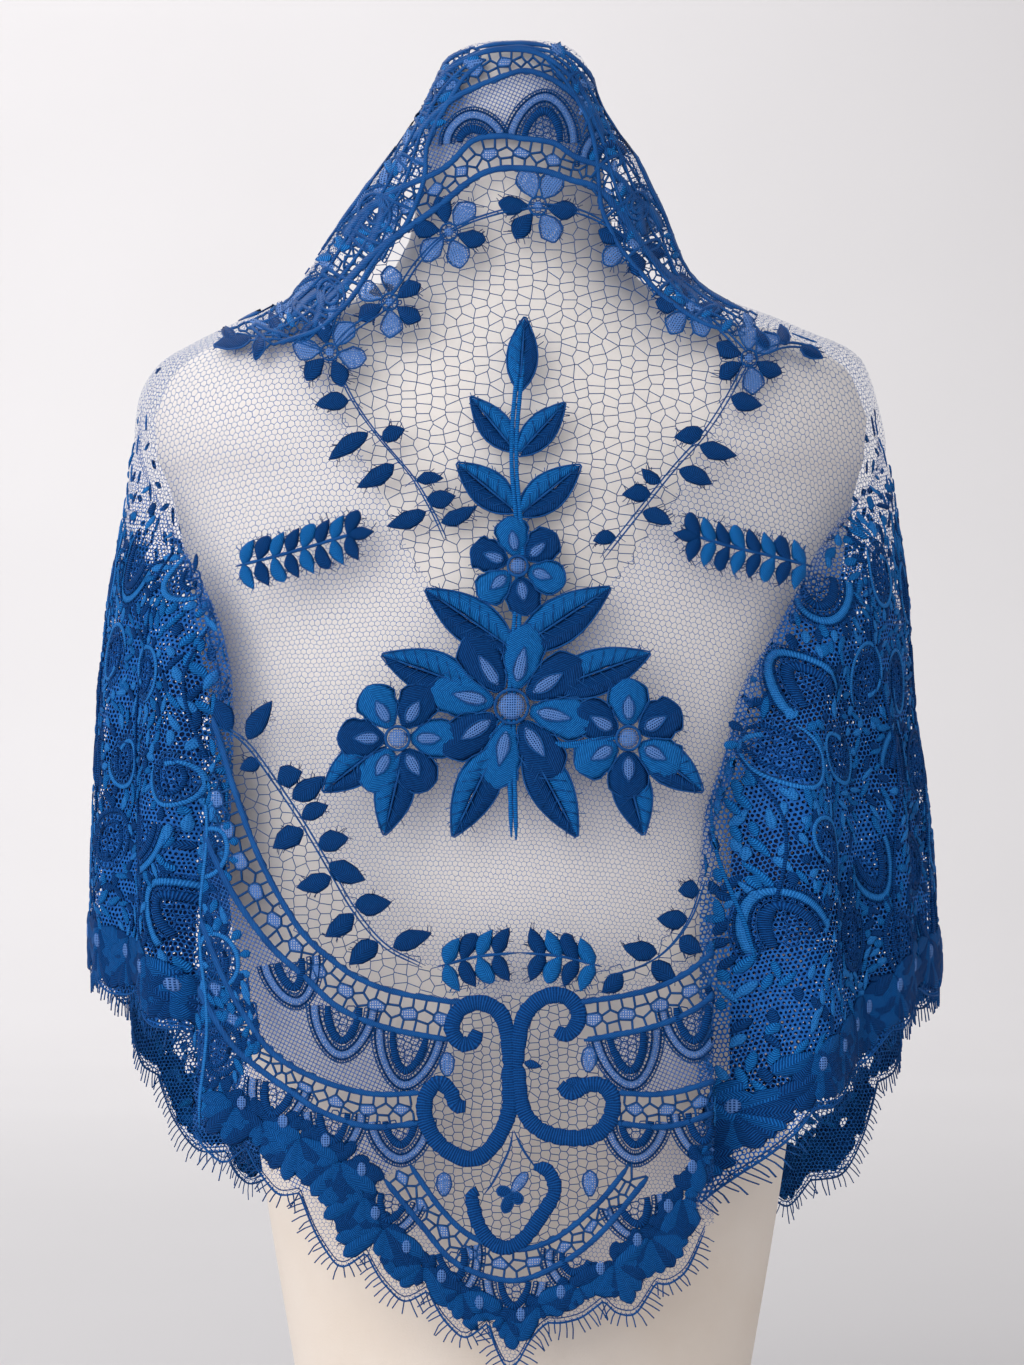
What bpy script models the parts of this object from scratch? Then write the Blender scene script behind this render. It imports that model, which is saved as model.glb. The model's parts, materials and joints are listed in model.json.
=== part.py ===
"""Lace shawl on a limbless dress form.

A triangular lace veil is drawn over the form's neck like a hood, rests on its shoulders and hangs
round it, with the point of the triangle at the middle of the back and its two acute corners in front.
Metres, +Z up. The origin is the middle of the form's flat base. -Y is the displayed back.

The cloth is one surface, cloth_point(angle, level). The angle runs round the figure: 0 at the middle
of the back, +90 at the wearer's right (+X), 180 in front. The level is the height, except over the
crown, where it goes on growing towards the middle of the neck's top.
"""

import math

import bmesh
import bpy
from mathutils import Vector
from mathutils.bvhtree import BVHTree
from mathutils.geometry import barycentric_transform, delaunay_2d_cdt

for old in list(bpy.data.objects):
    bpy.data.objects.remove(old, do_unlink=True)

# ---------------------------------------------------------------- driving sizes
WALL = 0.0012            # thickness of the lace
RAISED = 0.0006          # the bands stand this much over the ground net
SEAM_GAP = 0.00036       # between two neighbouring stretches
APPLIQUE_GAP = 0.0005    # worked motifs over the ground
APPLIQUE = 0.0012        # their thickness
FRINGE_GAP = 0.0006      # below the hem
FRINGE_STRIP = 0.0022    # height of the strip that holds the threads
FRINGE_LENGTH = 0.0065
FRINGE_ROOT = 0.0010
CROWN_LEVEL = 0.800      # level at the middle of the neck's top
SQUARE = 0.30            # how far the rings are squarer than an ellipse
SIDE_TO_FRONT = 118.0    # angle of the seam between a side drape and a front panel
CROWN_EDGE = 0.742       # level of the long edge over the front of the neck

# The layout of the lace is given as it is seen from straight behind, on a sheet of 1024 x 1365
# units with y down, one unit being SHEET m at the middle of the figure.
SHEET = 0.00053
SHEET_AXIS, SHEET_FOOT = 520, 1478.2
EYE_X, EYE_Y, EYE_Z = -0.0042, -2.2, 0.422

# Rings of the cloth: level, height, half width left and right, depth at the back and in front.
RINGS = [
    (0.800, 0.7596, 0.0004, 0.0004, 0.0004, 0.0004),
    (0.782, 0.7594, 0.0180, 0.0172, 0.0175, 0.0165),
    (0.770, 0.7575, 0.0290, 0.0262, 0.0285, 0.0265),
    (0.757, 0.7520, 0.0375, 0.0330, 0.0375, 0.0350),
    (0.744, 0.7440, 0.0424, 0.0372, 0.0435, 0.0390),
    (0.730, 0.7305, 0.0488, 0.0412, 0.0485, 0.0420),
    (0.715, 0.7150, 0.0583, 0.0500, 0.0520, 0.0440),
    (0.696, 0.6960, 0.0716, 0.0636, 0.0560, 0.0465),
    (0.6775, 0.6775, 0.0859, 0.0731, 0.0605, 0.0495),
    (0.656, 0.6560, 0.1007, 0.0816, 0.0665, 0.0535),
    (0.638, 0.6380, 0.1130, 0.0895, 0.0725, 0.0580),
    (0.625, 0.6250, 0.1225, 0.1070, 0.0780, 0.0615),
    (0.614, 0.6140, 0.1455, 0.1360, 0.0830, 0.0650),
    (0.606, 0.6060, 0.1630, 0.1550, 0.0870, 0.0680),
    (0.599, 0.5990, 0.1765, 0.1725, 0.0900, 0.0705),
    (0.592, 0.5920, 0.1885, 0.1810, 0.0935, 0.0730),
    (0.582, 0.5820, 0.1970, 0.1855, 0.0980, 0.0770),
    (0.570, 0.5700, 0.2020, 0.1890, 0.1020, 0.0815),
    (0.550, 0.5500, 0.2045, 0.1935, 0.1070, 0.0880),
    (0.520, 0.5200, 0.2078, 0.1977, 0.1115, 0.0950),
    (0.465, 0.4650, 0.2173, 0.2051, 0.1175, 0.1030),
    (0.410, 0.4100, 0.2221, 0.2090, 0.1215, 0.1080),
    (0.360, 0.3600, 0.2237, 0.2162, 0.1245, 0.1110),
    (0.306, 0.3060, 0.2247, 0.2205, 0.1270, 0.1135),
    (0.270, 0.2700, 0.2245, 0.2215, 0.1290, 0.1150),
    (0.150, 0.1500, 0.2230, 0.2215, 0.1340, 0.1180),
    (0.040, 0.0400, 0.2220, 0.2210, 0.1380, 0.1200),
]

# Rings of the form: height, half width, depth at the back and in front, middle in x.
FORM_RINGS = [
    (0.0000, 0.1100, 0.0800, 0.0820, 0.0015),
    (0.0600, 0.1205, 0.0860, 0.0870, 0.0015),
    (0.1660, 0.1380, 0.0950, 0.0930, 0.0015),
    (0.2600, 0.1500, 0.0995, 0.0960, 0.0010),
    (0.3600, 0.1590, 0.1030, 0.0980, 0.0000),
    (0.4400, 0.1670, 0.1050, 0.0960, -0.0020),
    (0.5000, 0.1760, 0.1035, 0.0880, -0.0030),
    (0.5350, 0.1815, 0.0990, 0.0810, -0.0040),
    (0.5600, 0.1815, 0.0930, 0.0740, -0.0040),
    (0.5760, 0.1745, 0.0870, 0.0680, -0.0040),
    (0.5880, 0.1600, 0.0810, 0.0620, -0.0040),
    (0.5980, 0.1380, 0.0750, 0.0570, -0.0040),
    (0.6080, 0.1130, 0.0690, 0.0520, -0.0040),
    (0.6200, 0.0870, 0.0630, 0.0485, -0.0040),
    (0.6350, 0.0670, 0.0570, 0.0460, -0.0040),
    (0.6550, 0.0550, 0.0520, 0.0440, -0.0040),
    (0.6850, 0.0490, 0.0480, 0.0425, -0.0040),
    (0.7150, 0.0460, 0.0455, 0.0405, -0.0040),
    (0.7300, 0.0420, 0.0430, 0.0385, -0.0040),
    (0.7420, 0.0372, 0.0390, 0.0350, -0.0030),
    (0.7505, 0.0310, 0.0320, 0.0300, -0.0025),
    (0.7560, 0.0215, 0.0220, 0.0210, -0.0015),
    (0.7579, 0.0120, 0.0120, 0.0120, -0.0005),
]
FORM_SEGMENTS = 24

# Edge of the smooth back, where the cloth folds in: level, angle at the left, angle at the right.
FOLD_EDGES = [
    (0.745, -85.0, 85.0),
    (0.580, -85.0, 85.0),
    (0.556, -84.0, 85.0),
    (0.535, -74.0, 76.0),
    (0.513, -65.0, 63.0),
    (0.498, -60.0, 55.0),
    (0.482, -54.5, 49.5),
    (0.447, -47.0, 41.0),
    (0.418, -45.0, 34.5),
    (0.390, -45.0, 31.5),
    (0.350, -46.0, 26.5),
    (0.300, -46.5, 25.5),
    (0.200, -48.5, 25.5),
    (0.040, -50.0, 25.5),
]

# The two deep folds behind those edges: side, degrees of its drop, degrees of its rise, depth at
# these levels: shoulder, blade, waist and hem.
DEEP_FOLDS = [
    ("left", 5.0, 6.5, (0.000, 0.008, 0.024, 0.030)),
    ("right", 5.0, 10.0, (0.000, 0.009, 0.027, 0.034)),
]
DEEP_LEVELS = (0.585, 0.520, 0.400, 0.180)

# Soft folds: name, angle, half width in degrees, depth (inwards), level where it starts, level
# where it is full.
SOFT_FOLDS = [
    ("middle back", -6.0, 9.0, 0.0030, 0.50, 0.30),
    ("left of middle", -24.0, 7.0, -0.0040, 0.46, 0.22),
    ("right of middle", 12.0, 6.0, -0.0035, 0.44, 0.22),
    ("left blade", -37.0, 6.0, 0.0040, 0.40, 0.20),
    ("neck left", -58.0, 12.0, 0.0050, 0.70, 0.655),
    ("neck right", 60.0, 12.0, 0.0045, 0.70, 0.655),
    ("left arm back", -68.0, 5.0, 0.0060, 0.50, 0.32),
    ("left arm side", -86.0, 6.5, -0.0020, 0.48, 0.30),
    ("left arm front", -103.0, 6.0, 0.0080, 0.50, 0.32),
    ("right arm lip", 43.0, 4.0, -0.0040, 0.42, 0.30),
    ("right arm back", 56.0, 5.0, 0.0070, 0.48, 0.32),
    ("right arm side", 74.0, 6.0, 0.0055, 0.50, 0.30),
    ("right arm front", 104.0, 6.0, 0.0080, 0.50, 0.32),
    ("left breast", -130.0, 5.0, 0.0080, 0.50, 0.30),
    ("right breast", 132.0, 5.0, 0.0080, 0.50, 0.30),
]

# Long edge of the lace in front: level, angle.
FRONT_EDGE = [
    (0.742, 128.0),
    (0.728, 118.0),
    (0.700, 110.0),
    (0.670, 108.0),
    (0.645, 110.0),
    (0.625, 116.0),
    (0.605, 124.0),
    (0.580, 133.0),
    (0.540, 141.0),
    (0.480, 147.0),
    (0.400, 150.0),
    (0.300, 151.5),
    (0.100, 152.0),
]

# Levels of the points along the seams.
SEAM_LEVELS = [0.742, 0.728, 0.712, 0.696, 0.680, 0.664, 0.648, 0.636, 0.626, 0.617, 0.609, 0.601,
               0.593, 0.583, 0.570, 0.554, 0.538, 0.522, 0.506, 0.489, 0.471, 0.452, 0.433, 0.413,
               0.392, 0.370, 0.348, 0.325, 0.302, 0.279, 0.256, 0.236]

# Scallops of the back hem on the sheet, from notch to notch: x and y of the first notch, how far
# the lobe hangs below the line to the next one.
BACK_SCALLOPS = [
    (192, 1126, 24),
    (246, 1146, 20),
    (300, 1192, 38),
    (366, 1252, 26),
    (428, 1290, 28),
    (488, 1322, 20),
    (518, 1362, -6),
    (548, 1322, 8),
    (604, 1300, 24),
    (656, 1282, 22),
    (707, 1225, 0),
]

# Scallops of the sides and of the front corners, from notch to notch: angle and level of the first
# notch, depth of the lobe.
LEFT_SCALLOPS = [
    (-56.0, 0.2450, 0.0050),
    (-66.0, 0.2640, 0.0080),
    (-80.0, 0.2740, 0.0080),
    (-93.0, 0.2760, 0.0100),
    (-106.0, 0.2500, 0.0100),
    (-SIDE_TO_FRONT, 0.2080, 0.0160),
    (-131.0, 0.1640, 0.0100),
    (-142.0, 0.1480, 0.0100),
    (-152.0, 0.1420, 0.0000),
]
RIGHT_SCALLOPS = [
    (41.0, 0.2080, 0.0060),
    (52.0, 0.2260, 0.0060),
    (62.0, 0.2440, 0.0060),
    (74.0, 0.2640, 0.0090),
    (90.0, 0.2700, 0.0090),
    (104.0, 0.2480, 0.0100),
    (SIDE_TO_FRONT, 0.2040, 0.0180),
    (131.0, 0.1480, 0.0100),
    (142.0, 0.1380, 0.0100),
    (152.0, 0.1340, 0.0000),
]
CROWN_SIDE = (98.0, 108.0, 118.0)                     # points of the seam between crown and sides
FRONT_TOP = 0.600                                     # level where the front panels start
LONG_EDGE_LEVELS = (0.614, 0.628, 0.642, 0.658, 0.676, 0.695, 0.712, 0.726, 0.736)
LEFT_COLUMNS = (58, 63, 68, 73, 80, 87, 95, 103, 111)
RIGHT_COLUMNS = (44, 50, 56, 62, 68, 74, 80, 88, 96, 104, 111)
FRONT_COLUMNS = (124, 130, 136, 143)
HEM_STEP = 0.0095        # one point and one thread about every 9 mm

# Lace bands on the sheet, drawn for the left half and mirrored: middle line of the band, how wide
# it is from the middle of one row of cells to the other, and how far it shows at the right.
MIRROR_AXIS = 518
BAND_CELL_PITCH = 16.8
BAND_CELL = (12.4, 8.6)
BANDS = [
    ("band A", [(240, 790), (262, 868), (290, 926), (322, 966), (358, 994), (408, 1013), (456, 1021)], 20, 694),
    ("band B", [(236, 1012), (280, 1066), (319, 1096), (370, 1110), (417, 1105)], 19, 694),
    ("band C", [(398, 1175), (431, 1216), (464, 1249), (513, 1264)], 19, 640),
    ("neck band", [(349, 262), (372, 236), (402, 199), (434, 180), (474, 156), (518, 152)], 16, 660),
]

# Six-petal flowers of the neck garland on the sheet: x, y, radius, turn in degrees.
FLOWERS = [
    (330, 352, 37, 10),
    (390, 302, 36, 30),
    (449, 232, 38, 12),
    (538, 206, 40, 35),
    (631, 242, 35, 20),
    (690, 305, 35, 5),
    (749, 358, 36, 25),
]
# Stems of the garland: points, width.
GARLAND_STEMS = [
    ([(330, 352), (352, 330), (390, 302), (418, 262), (449, 232), (492, 214), (538, 206), (586, 214),
      (631, 242), (662, 272), (690, 305), (722, 330), (749, 358)], 6),
    ([(240, 339), (285, 338), (330, 352)], 5),
    ([(749, 358), (786, 345), (822, 350)], 5),
]
# Leaves: foot x and y, tip x and y, width.
GARLAND_LEAVES = [
    (252, 338, 214, 346, 20), (262, 336, 256, 362, 17), (282, 338, 270, 310, 18),
    (786, 345, 778, 320, 17), (800, 347, 826, 360, 17),
]
LEFT_GARLAND_STEM = ([(216, 722), (246, 742), (276, 782), (304, 824), (330, 868), (356, 912), (386, 946), (424, 966)], 6)
LEFT_GARLAND_LEAVES = [
    (232, 734, 214, 700, 20), (246, 742, 270, 704, 20), (262, 762, 242, 768, 16), (276, 782, 300, 772, 22),
    (290, 800, 322, 778, 22), (300, 818, 326, 806, 18), (306, 828, 276, 846, 22), (316, 846, 346, 838, 22),
    (326, 862, 362, 878, 22), (334, 876, 300, 886, 20), (352, 904, 388, 902, 22), (356, 912, 328, 934, 20),
    (380, 940, 352, 962, 22), (390, 948, 428, 934, 20),
]
RIGHT_GARLAND_STEM = ([(704, 880), (690, 918), (668, 948), (640, 966), (606, 976)], 6)
RIGHT_GARLAND_LEAVES = [
    (701, 890, 680, 890, 18), (690, 918, 660, 918, 20), (678, 936, 700, 950, 20), (660, 953, 626, 946, 20),
    (650, 960, 674, 978, 20), (624, 972, 604, 990, 18),
]

# Generic ornament in the middle of the back: stems, flowers and leaves of a branching spray.
SPRAY_STEMS = [
    ([(514, 838), (512, 700), (520, 560), (514, 450), (522, 350)], 9),
    ([(512, 712), (468, 744), (404, 734)], 9),
    ([(512, 712), (558, 744), (624, 734)], 9),
]
SPRAY_FLOWERS = [(512, 706, 84, 8, 12), (398, 738, 60, 6, 0), (628, 738, 60, 6, 30), (518, 566, 50, 6, 20)]
SPRAY_LEAVES = [
    (520, 392, 525, 316, 30), (516, 452, 470, 396, 30), (517, 456, 566, 402, 30), (517, 512, 456, 462, 36),
    (518, 516, 582, 464, 36), (515, 650, 424, 588, 44), (515, 650, 612, 586, 44), (480, 690, 380, 654, 44),
    (546, 690, 652, 652, 44), (386, 742, 322, 792, 38), (640, 742, 704, 792, 38), (404, 752, 384, 836, 38),
    (622, 752, 644, 836, 38), (500, 740, 452, 838, 42), (526, 740, 578, 838, 42),
]
# Scrolls of thick satin: points of each, width.
SCROLLS = [
    ([(483, 1024), (470, 1044), (455, 1024), (472, 1003), (496, 1006), (508, 1028), (511, 1070)], 9),
    ([(545, 1022), (560, 1040), (576, 1018), (560, 997), (534, 1003), (520, 1028), (516, 1070)], 9),
    ([(468, 1098), (446, 1100), (436, 1082), (424, 1104), (438, 1140), (472, 1158), (502, 1138), (511, 1104), (508, 1062)], 9),
    ([(567, 1088), (588, 1082), (612, 1098), (606, 1124), (572, 1138), (538, 1130), (522, 1104), (518, 1062)], 9),
    ([(511, 1104), (504, 1132), (492, 1156), (471, 1188), (478, 1222), (504, 1240), (534, 1224), (552, 1190), (540, 1166), (528, 1156),
      (518, 1128)], 8),
]

LACE_BLUE = (0.010, 0.105, 0.400)
DARK_SATIN = (0.006, 0.060, 0.270)
PALE_SATIN = (0.190, 0.320, 0.640)
CREAM = (0.800, 0.730, 0.650)

collection = bpy.data.collections.new("lace_shawl_on_dress_form")
bpy.context.scene.collection.children.link(collection)


# ---------------------------------------------------------------- curves through the tables
def through(xs, ys):
    """A smooth function through the points that never overshoots between them (monotone cubic)."""
    if xs[0] > xs[-1]:
        xs, ys = xs[::-1], ys[::-1]
    gaps = [b - a for a, b in zip(xs, xs[1:])]
    rises = [(b - a) / gap for a, b, gap in zip(ys, ys[1:], gaps)]
    slopes = [rises[0]]
    for left, right in zip(rises, rises[1:]):
        slopes.append(0.0 if left * right <= 0 else 2 * left * right / (left + right))
    slopes.append(rises[-1])

    def value(x):
        x = min(max(x, xs[0]), xs[-1])
        i = max(k for k in range(len(gaps)) if x >= xs[k])
        t = (x - xs[i]) / gaps[i]
        return (ys[i] * (1 + 2 * t) * (1 - t) ** 2 + slopes[i] * gaps[i] * t * (1 - t) ** 2
                + ys[i + 1] * t * t * (3 - 2 * t) + slopes[i + 1] * gaps[i] * t * t * (t - 1))

    return value


def columns(table):
    first = [row[0] for row in table]
    return [through(first, [row[k] for row in table]) for k in range(1, len(table[0]))]


def ease(t):
    t = min(max(t, 0.0), 1.0)
    return t * t * (3 - 2 * t)


ring_height, ring_left, ring_right, ring_back, ring_front = columns(RINGS)
fold_left, fold_right = columns(FOLD_EDGES)
front_edge, = columns(FRONT_EDGE)
level_of_height = through([row[1] for row in RINGS], [row[0] for row in RINGS])
deep_depth = {side: through(list(DEEP_LEVELS), list(depths)) for side, _, _, depths in DEEP_FOLDS}
DROP = {side: drop for side, drop, _, _ in DEEP_FOLDS}
RISE = {side: rise for side, _, rise, _ in DEEP_FOLDS}


# ---------------------------------------------------------------- the surface of the cloth
def seam_angle(side, level):
    """Where the back panel ends: at the bottom of the deep fold, or at the side over the shoulder."""
    if side == "left":
        return fold_left(level) - DROP["left"]
    return fold_right(level) + DROP["right"]


def inward(angle, level):
    """How far the folds take the cloth in towards the figure."""
    depth = 0.0
    if level < DEEP_LEVELS[0]:
        for side, turn in (("left", -1.0), ("right", 1.0)):
            past = turn * (angle - (fold_left if side == "left" else fold_right)(level))
            if 0.0 < past < DROP[side] + RISE[side]:
                falls = ease(past / DROP[side])
                rises = ease((past - DROP[side]) / RISE[side])
                depth += deep_depth[side](level) * (falls - rises)
    for _, middle, half_width, most, start, full in SOFT_FOLDS:
        if level < start:
            away = (angle - middle) / half_width
            if abs(away) < 3.0:
                depth += most * ease((start - level) / (start - full)) * math.exp(-away * away)
    return depth


def cloth_point(angle, level):
    turn = math.radians(angle)
    s, c = math.sin(turn), math.cos(turn)
    x = (ring_right if s > 0 else ring_left)(level) * s
    y = -(ring_back if c > 0 else ring_front)(level) * c * (1 + SQUARE * s * s)
    reach = math.hypot(x, y)
    if reach > 0.02:
        take = inward(angle, level) / reach
        x, y = x * (1 - take), y * (1 - take)
    return Vector((x, y, ring_height(level)))


def cloth_normal(angle, level):
    around = cloth_point(angle + 0.25, level) - cloth_point(angle - 0.25, level)
    upper = min(level + 0.0008, CROWN_LEVEL - 1e-5)
    up = cloth_point(angle, upper) - cloth_point(angle, upper - 0.0016)
    normal = around.cross(up)
    return normal.normalized() if level < CROWN_LEVEL - 0.002 else Vector((0, 0, 1))


def seen(sheet_x, sheet_y):
    """Angle and level of the place on the back that is seen at that place of the sheet."""
    x0 = (sheet_x - SHEET_AXIS) * SHEET
    z0 = (SHEET_FOOT - sheet_y) * SHEET
    y = -0.11
    for _ in range(12):
        nearer = (y - EYE_Y) / -EYE_Y
        x = EYE_X + (x0 - EYE_X) * nearer
        z = EYE_Z + (z0 - EYE_Z) * nearer
        level = level_of_height(z)
        half = (ring_right if x > 0 else ring_left)(level)
        angle = math.degrees(math.asin(min(max(x / half, -0.999), 0.999)))
        y = cloth_point(angle, level).y
    return angle, level


# ---------------------------------------------------------------- flat plans for the triangulation
def crown_plan(angle, level):
    """The back panel laid out round its crown, in mm."""
    reach = (CROWN_LEVEL - level) * 1000
    return reach * math.sin(math.radians(angle)), -reach * math.cos(math.radians(angle))


def crown_unplan(x, y):
    return math.degrees(math.atan2(x, -y)), CROWN_LEVEL - math.hypot(x, y) / 1000


def side_plan(angle, level):
    return angle * 3.5, level * 1000


def side_unplan(x, y):
    return x / 3.5, y / 1000


def turned_left(points):
    """The loop in anticlockwise order, which the triangulation reads as filled."""
    area = sum(a[0] * b[1] - a[1] * b[0] for a, b in zip(points, points[1:] + points[:1]))
    return points if area > 0 else points[::-1]


def make_object(name, vertices, faces, colour, roughness=0.75, smooth=True):
    mesh = bpy.data.meshes.new(name)
    mesh.from_pydata(vertices, [], faces)
    mesh.validate()
    work = bmesh.new()
    work.from_mesh(mesh)
    bmesh.ops.triangulate(work, faces=work.faces[:], quad_method="BEAUTY")
    bmesh.ops.recalc_face_normals(work, faces=work.faces[:])
    work.to_mesh(mesh)
    work.free()
    if smooth:
        mesh.shade_smooth()
        mesh.set_sharp_from_angle(angle=math.radians(40))
    material = bpy.data.materials.new(name)
    material.use_nodes = True
    shader = material.node_tree.nodes["Principled BSDF"]
    shader.inputs["Base Color"].default_value = (*colour, 1)
    shader.inputs["Roughness"].default_value = roughness
    shader.inputs["Metallic"].default_value = 0.0
    material.diffuse_color = (*colour, 1)
    mesh.materials.append(material)
    obj = bpy.data.objects.new(name, mesh)
    collection.objects.link(obj)
    return obj


def between(triangles, top, bottom):
    """A closed wall: the triangles at the top, the same below, and its edges closed."""
    count = len(top)
    faces = [tuple(t) for t in triangles] + [tuple(count + v for v in reversed(t)) for t in triangles]
    edges = {}
    for a, b, c in triangles:
        for edge in ((a, b), (b, c), (c, a)):
            edges[edge] = True
    for a, b in edges:
        if (b, a) not in edges:
            faces.append((b, a, count + a, count + b))
    return top + bottom, faces


def panel(name, outline, holes, creases, inner, plan, unplan, colour):
    """One stretch of cloth: its outline, holes and creases triangulated in the plan, lifted on to
    the surface and given its thickness."""
    flat, loops, lines = [], [], []
    for loop in [outline] + holes:
        loops.append(list(range(len(flat), len(flat) + len(loop))))
        flat += turned_left([Vector(plan(*place)) for place in loop])
    rim = len(flat)
    for crease in creases:
        lines += [(len(flat) + k, len(flat) + k + 1) for k in range(len(crease) - 1)]
        flat += [Vector(plan(*place)) for place in crease]
    known = len(flat)
    for place in inner:
        spot = Vector(plan(*place))
        if all((spot - flat[k]).length > (2.5 if k < len(outline) or k >= rim else 5.0) for k in range(known)):
            flat.append(spot)
    made, _, triangles, sources, _, owners = delaunay_2d_cdt(flat, lines, loops, 0, 1e-4)
    whole = [t for t, owner in zip(triangles, owners) if 0 in owner]
    triangles = [t for t, owner in zip(triangles, owners) if owner == [0]]
    used = sorted({v for t in whole for v in t})
    new = {v: k for k, v in enumerate(used)}
    triangles, whole = ([tuple(new[v] for v in t) for t in some] for some in (triangles, whole))
    top, bottom = [], []
    for v in used:
        angle, level = unplan(*made[v])
        place, normal = cloth_point(angle, level), cloth_normal(angle, level)
        on_band = any(len(outline) <= s < rim for s in sources[v])
        top.append(place + normal * (RAISED if on_band else 0.0))
        bottom.append(place - normal * WALL)
    make_object(name, *between(triangles, top, bottom), colour)
    return [made[v] for v in used], whole, top


# ---------------------------------------------------------------- outlines worked on the sheet
def strip(points, width):
    """A band of even width along a smooth line through the points."""
    line = smooth_line(points)
    left, right = [], []
    for i, here in enumerate(line):
        ahead = line[min(i + 1, len(line) - 1)] - line[max(i - 1, 0)]
        side = Vector((-ahead.y, ahead.x)).normalized() * width / 2
        left.append(here + side)
        right.append(here - side)
    return left + right[::-1]


def smooth_line(points, step=26.0):
    """Catmull-Rom curve through the points, at about even steps."""
    points = [Vector(p) for p in points]
    ends = [2 * points[0] - points[1]] + points + [2 * points[-1] - points[-2]]
    line = []
    for a, b, c, d in zip(ends, ends[1:], ends[2:], ends[3:]):
        count = max(1, round((c - b).length / step))
        for k in range(count):
            t = k / count
            line.append(0.5 * ((2 * b) + (c - a) * t + (2 * a - 5 * b + 4 * c - d) * t * t
                               + (3 * b - a - 3 * c + d) * t ** 3))
    return line + [points[-1]]


def leaf(x0, y0, x1, y1, width):
    foot, tip = Vector((x0, y0)), Vector((x1, y1))
    along = tip - foot
    side = Vector((-along.y, along.x)).normalized() * width / 2
    return [foot, foot + along * 0.30 - side * 0.92, foot + along * 0.66 - side * 0.84, tip,
            foot + along * 0.66 + side * 0.84, foot + along * 0.30 + side * 0.92]


def flower(x, y, radius, petals, turn):
    """Petals with a notch between each two."""
    outline = []
    for k in range(petals):
        for shift, reach in ((-0.26, 0.95), (0.26, 0.95), (0.5, 0.46)):
            around = math.radians(turn + 360 * (k + shift) / petals)
            outline.append(Vector((x + radius * reach * math.cos(around), y + radius * reach * math.sin(around))))
    return outline


def filled(outlines, middles):
    """Overlapping outlines joined into one flat shape and triangulated. The points at their
    crossings inside it are dissolved, but not the given middles."""
    flat, loops = [], []
    for outline in outlines:
        loops.append(list(range(len(flat), len(flat) + len(outline))))
        flat += turned_left(outline)
    flat += [Vector(m) for m in middles]
    made, _, triangles, _, _, owners = delaunay_2d_cdt(flat, [], loops, 0, 1e-3)
    work = bmesh.new()
    corners = [work.verts.new((*p, 0)) for p in made]
    for triangle, owner in zip(triangles, owners):
        if owner:
            work.faces.new([corners[v] for v in triangle])
    keep = [Vector((*m, 0)) for m in middles]
    inside = [v for v in work.verts if v.link_faces and not v.is_boundary
              and all((v.co - m).length > 0.01 for m in keep)]
    bmesh.ops.dissolve_verts(work, verts=inside)
    bmesh.ops.triangulate(work, faces=work.faces[:])
    bmesh.ops.delete(work, geom=[v for v in work.verts if not v.link_faces], context="VERTS")
    work.verts.index_update()
    made = [v.co.xy for v in work.verts]
    triangles = [tuple(v.index for v in face.verts) for face in work.faces]
    work.free()
    return made, triangles


def upright(point, z=0.0):
    return Vector((point[0], point[1], z))


def facet_at(tree, spot):
    """The triangle of a flat plan that a place lies in, or None."""
    return tree.ray_cast(upright(spot, 1.0), Vector((0, 0, -1)))[2]


def applique(name, outlines, colour, middles=()):
    """Motifs joined into one piece and laid just off the back panel, folded where its facets fold."""
    sheet, triangles = filled(outlines, middles)
    flat = [Vector(crown_plan(*seen(*spot))) for spot in sheet]
    shape = BVHTree.FromPolygons([upright(p) for p in flat], triangles)
    sides = {(a, b) for t in triangles for a, b in zip(t, t[1:] + t[:1])}
    lines = [(a, b) for a, b in sides if (b, a) not in sides]
    low = [min(p[k] for p in flat) - 25 for k in (0, 1)]
    high = [max(p[k] for p in flat) + 25 for k in (0, 1)]
    plan, facets, outer = back_plan
    ground = BVHTree.FromPolygons([upright(p) for p in plan], facets)
    near = {v for v, p in enumerate(plan) if low[0] < p[0] < high[0] and low[1] < p[1] < high[1]}
    new = {v: len(flat) + k for k, v in enumerate(sorted(near))}
    lines += [(new[a], new[b]) for a, b in {tuple(sorted(side)) for t in facets for side in zip(t, t[1:] + t[:1])}
              if a in near and b in near]
    flat += [plan[v] for v in sorted(near)]
    made, _, pieces, _, _, _ = delaunay_2d_cdt(flat, lines, [], 0, 1e-3)
    pieces = [tuple(t) for t in pieces if facet_at(shape, sum((made[v] for v in t), Vector((0, 0))) / 3) is not None]
    used = sorted({v for t in pieces for v in t})
    new = {v: k for k, v in enumerate(used)}
    pieces = [tuple(new[v] for v in t) for t in pieces]
    top, bottom = [], []
    for v in used:
        spot = upright(made[v])
        facet = facet_at(ground, spot)
        a, b, c = facets[facet if facet is not None else ground.find_nearest(spot)[2]]
        place = barycentric_transform(spot, upright(plan[a]), upright(plan[b]), upright(plan[c]), outer[a], outer[b], outer[c])
        normal = cloth_normal(*crown_unplan(*made[v]))
        bottom.append(place + normal * APPLIQUE_GAP)
        top.append(place + normal * (APPLIQUE_GAP + APPLIQUE))
    return make_object(name, *between(pieces, top, bottom), colour)


# ---------------------------------------------------------------- hems
def lobe(first, last, depth, count, down):
    """Points from one notch to the next, without the last: a rounded lobe below the straight line."""
    points = []
    for k in range(count):
        t = k / count
        hang = depth * math.sin(math.pi * t)
        points.append((first[0] + (last[0] - first[0]) * t, first[1] + (last[1] - first[1]) * t + down * hang))
    return points


def length_of(places):
    points = [cloth_point(*p) for p in places]
    return sum((b - a).length for a, b in zip(points, points[1:]))


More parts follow.
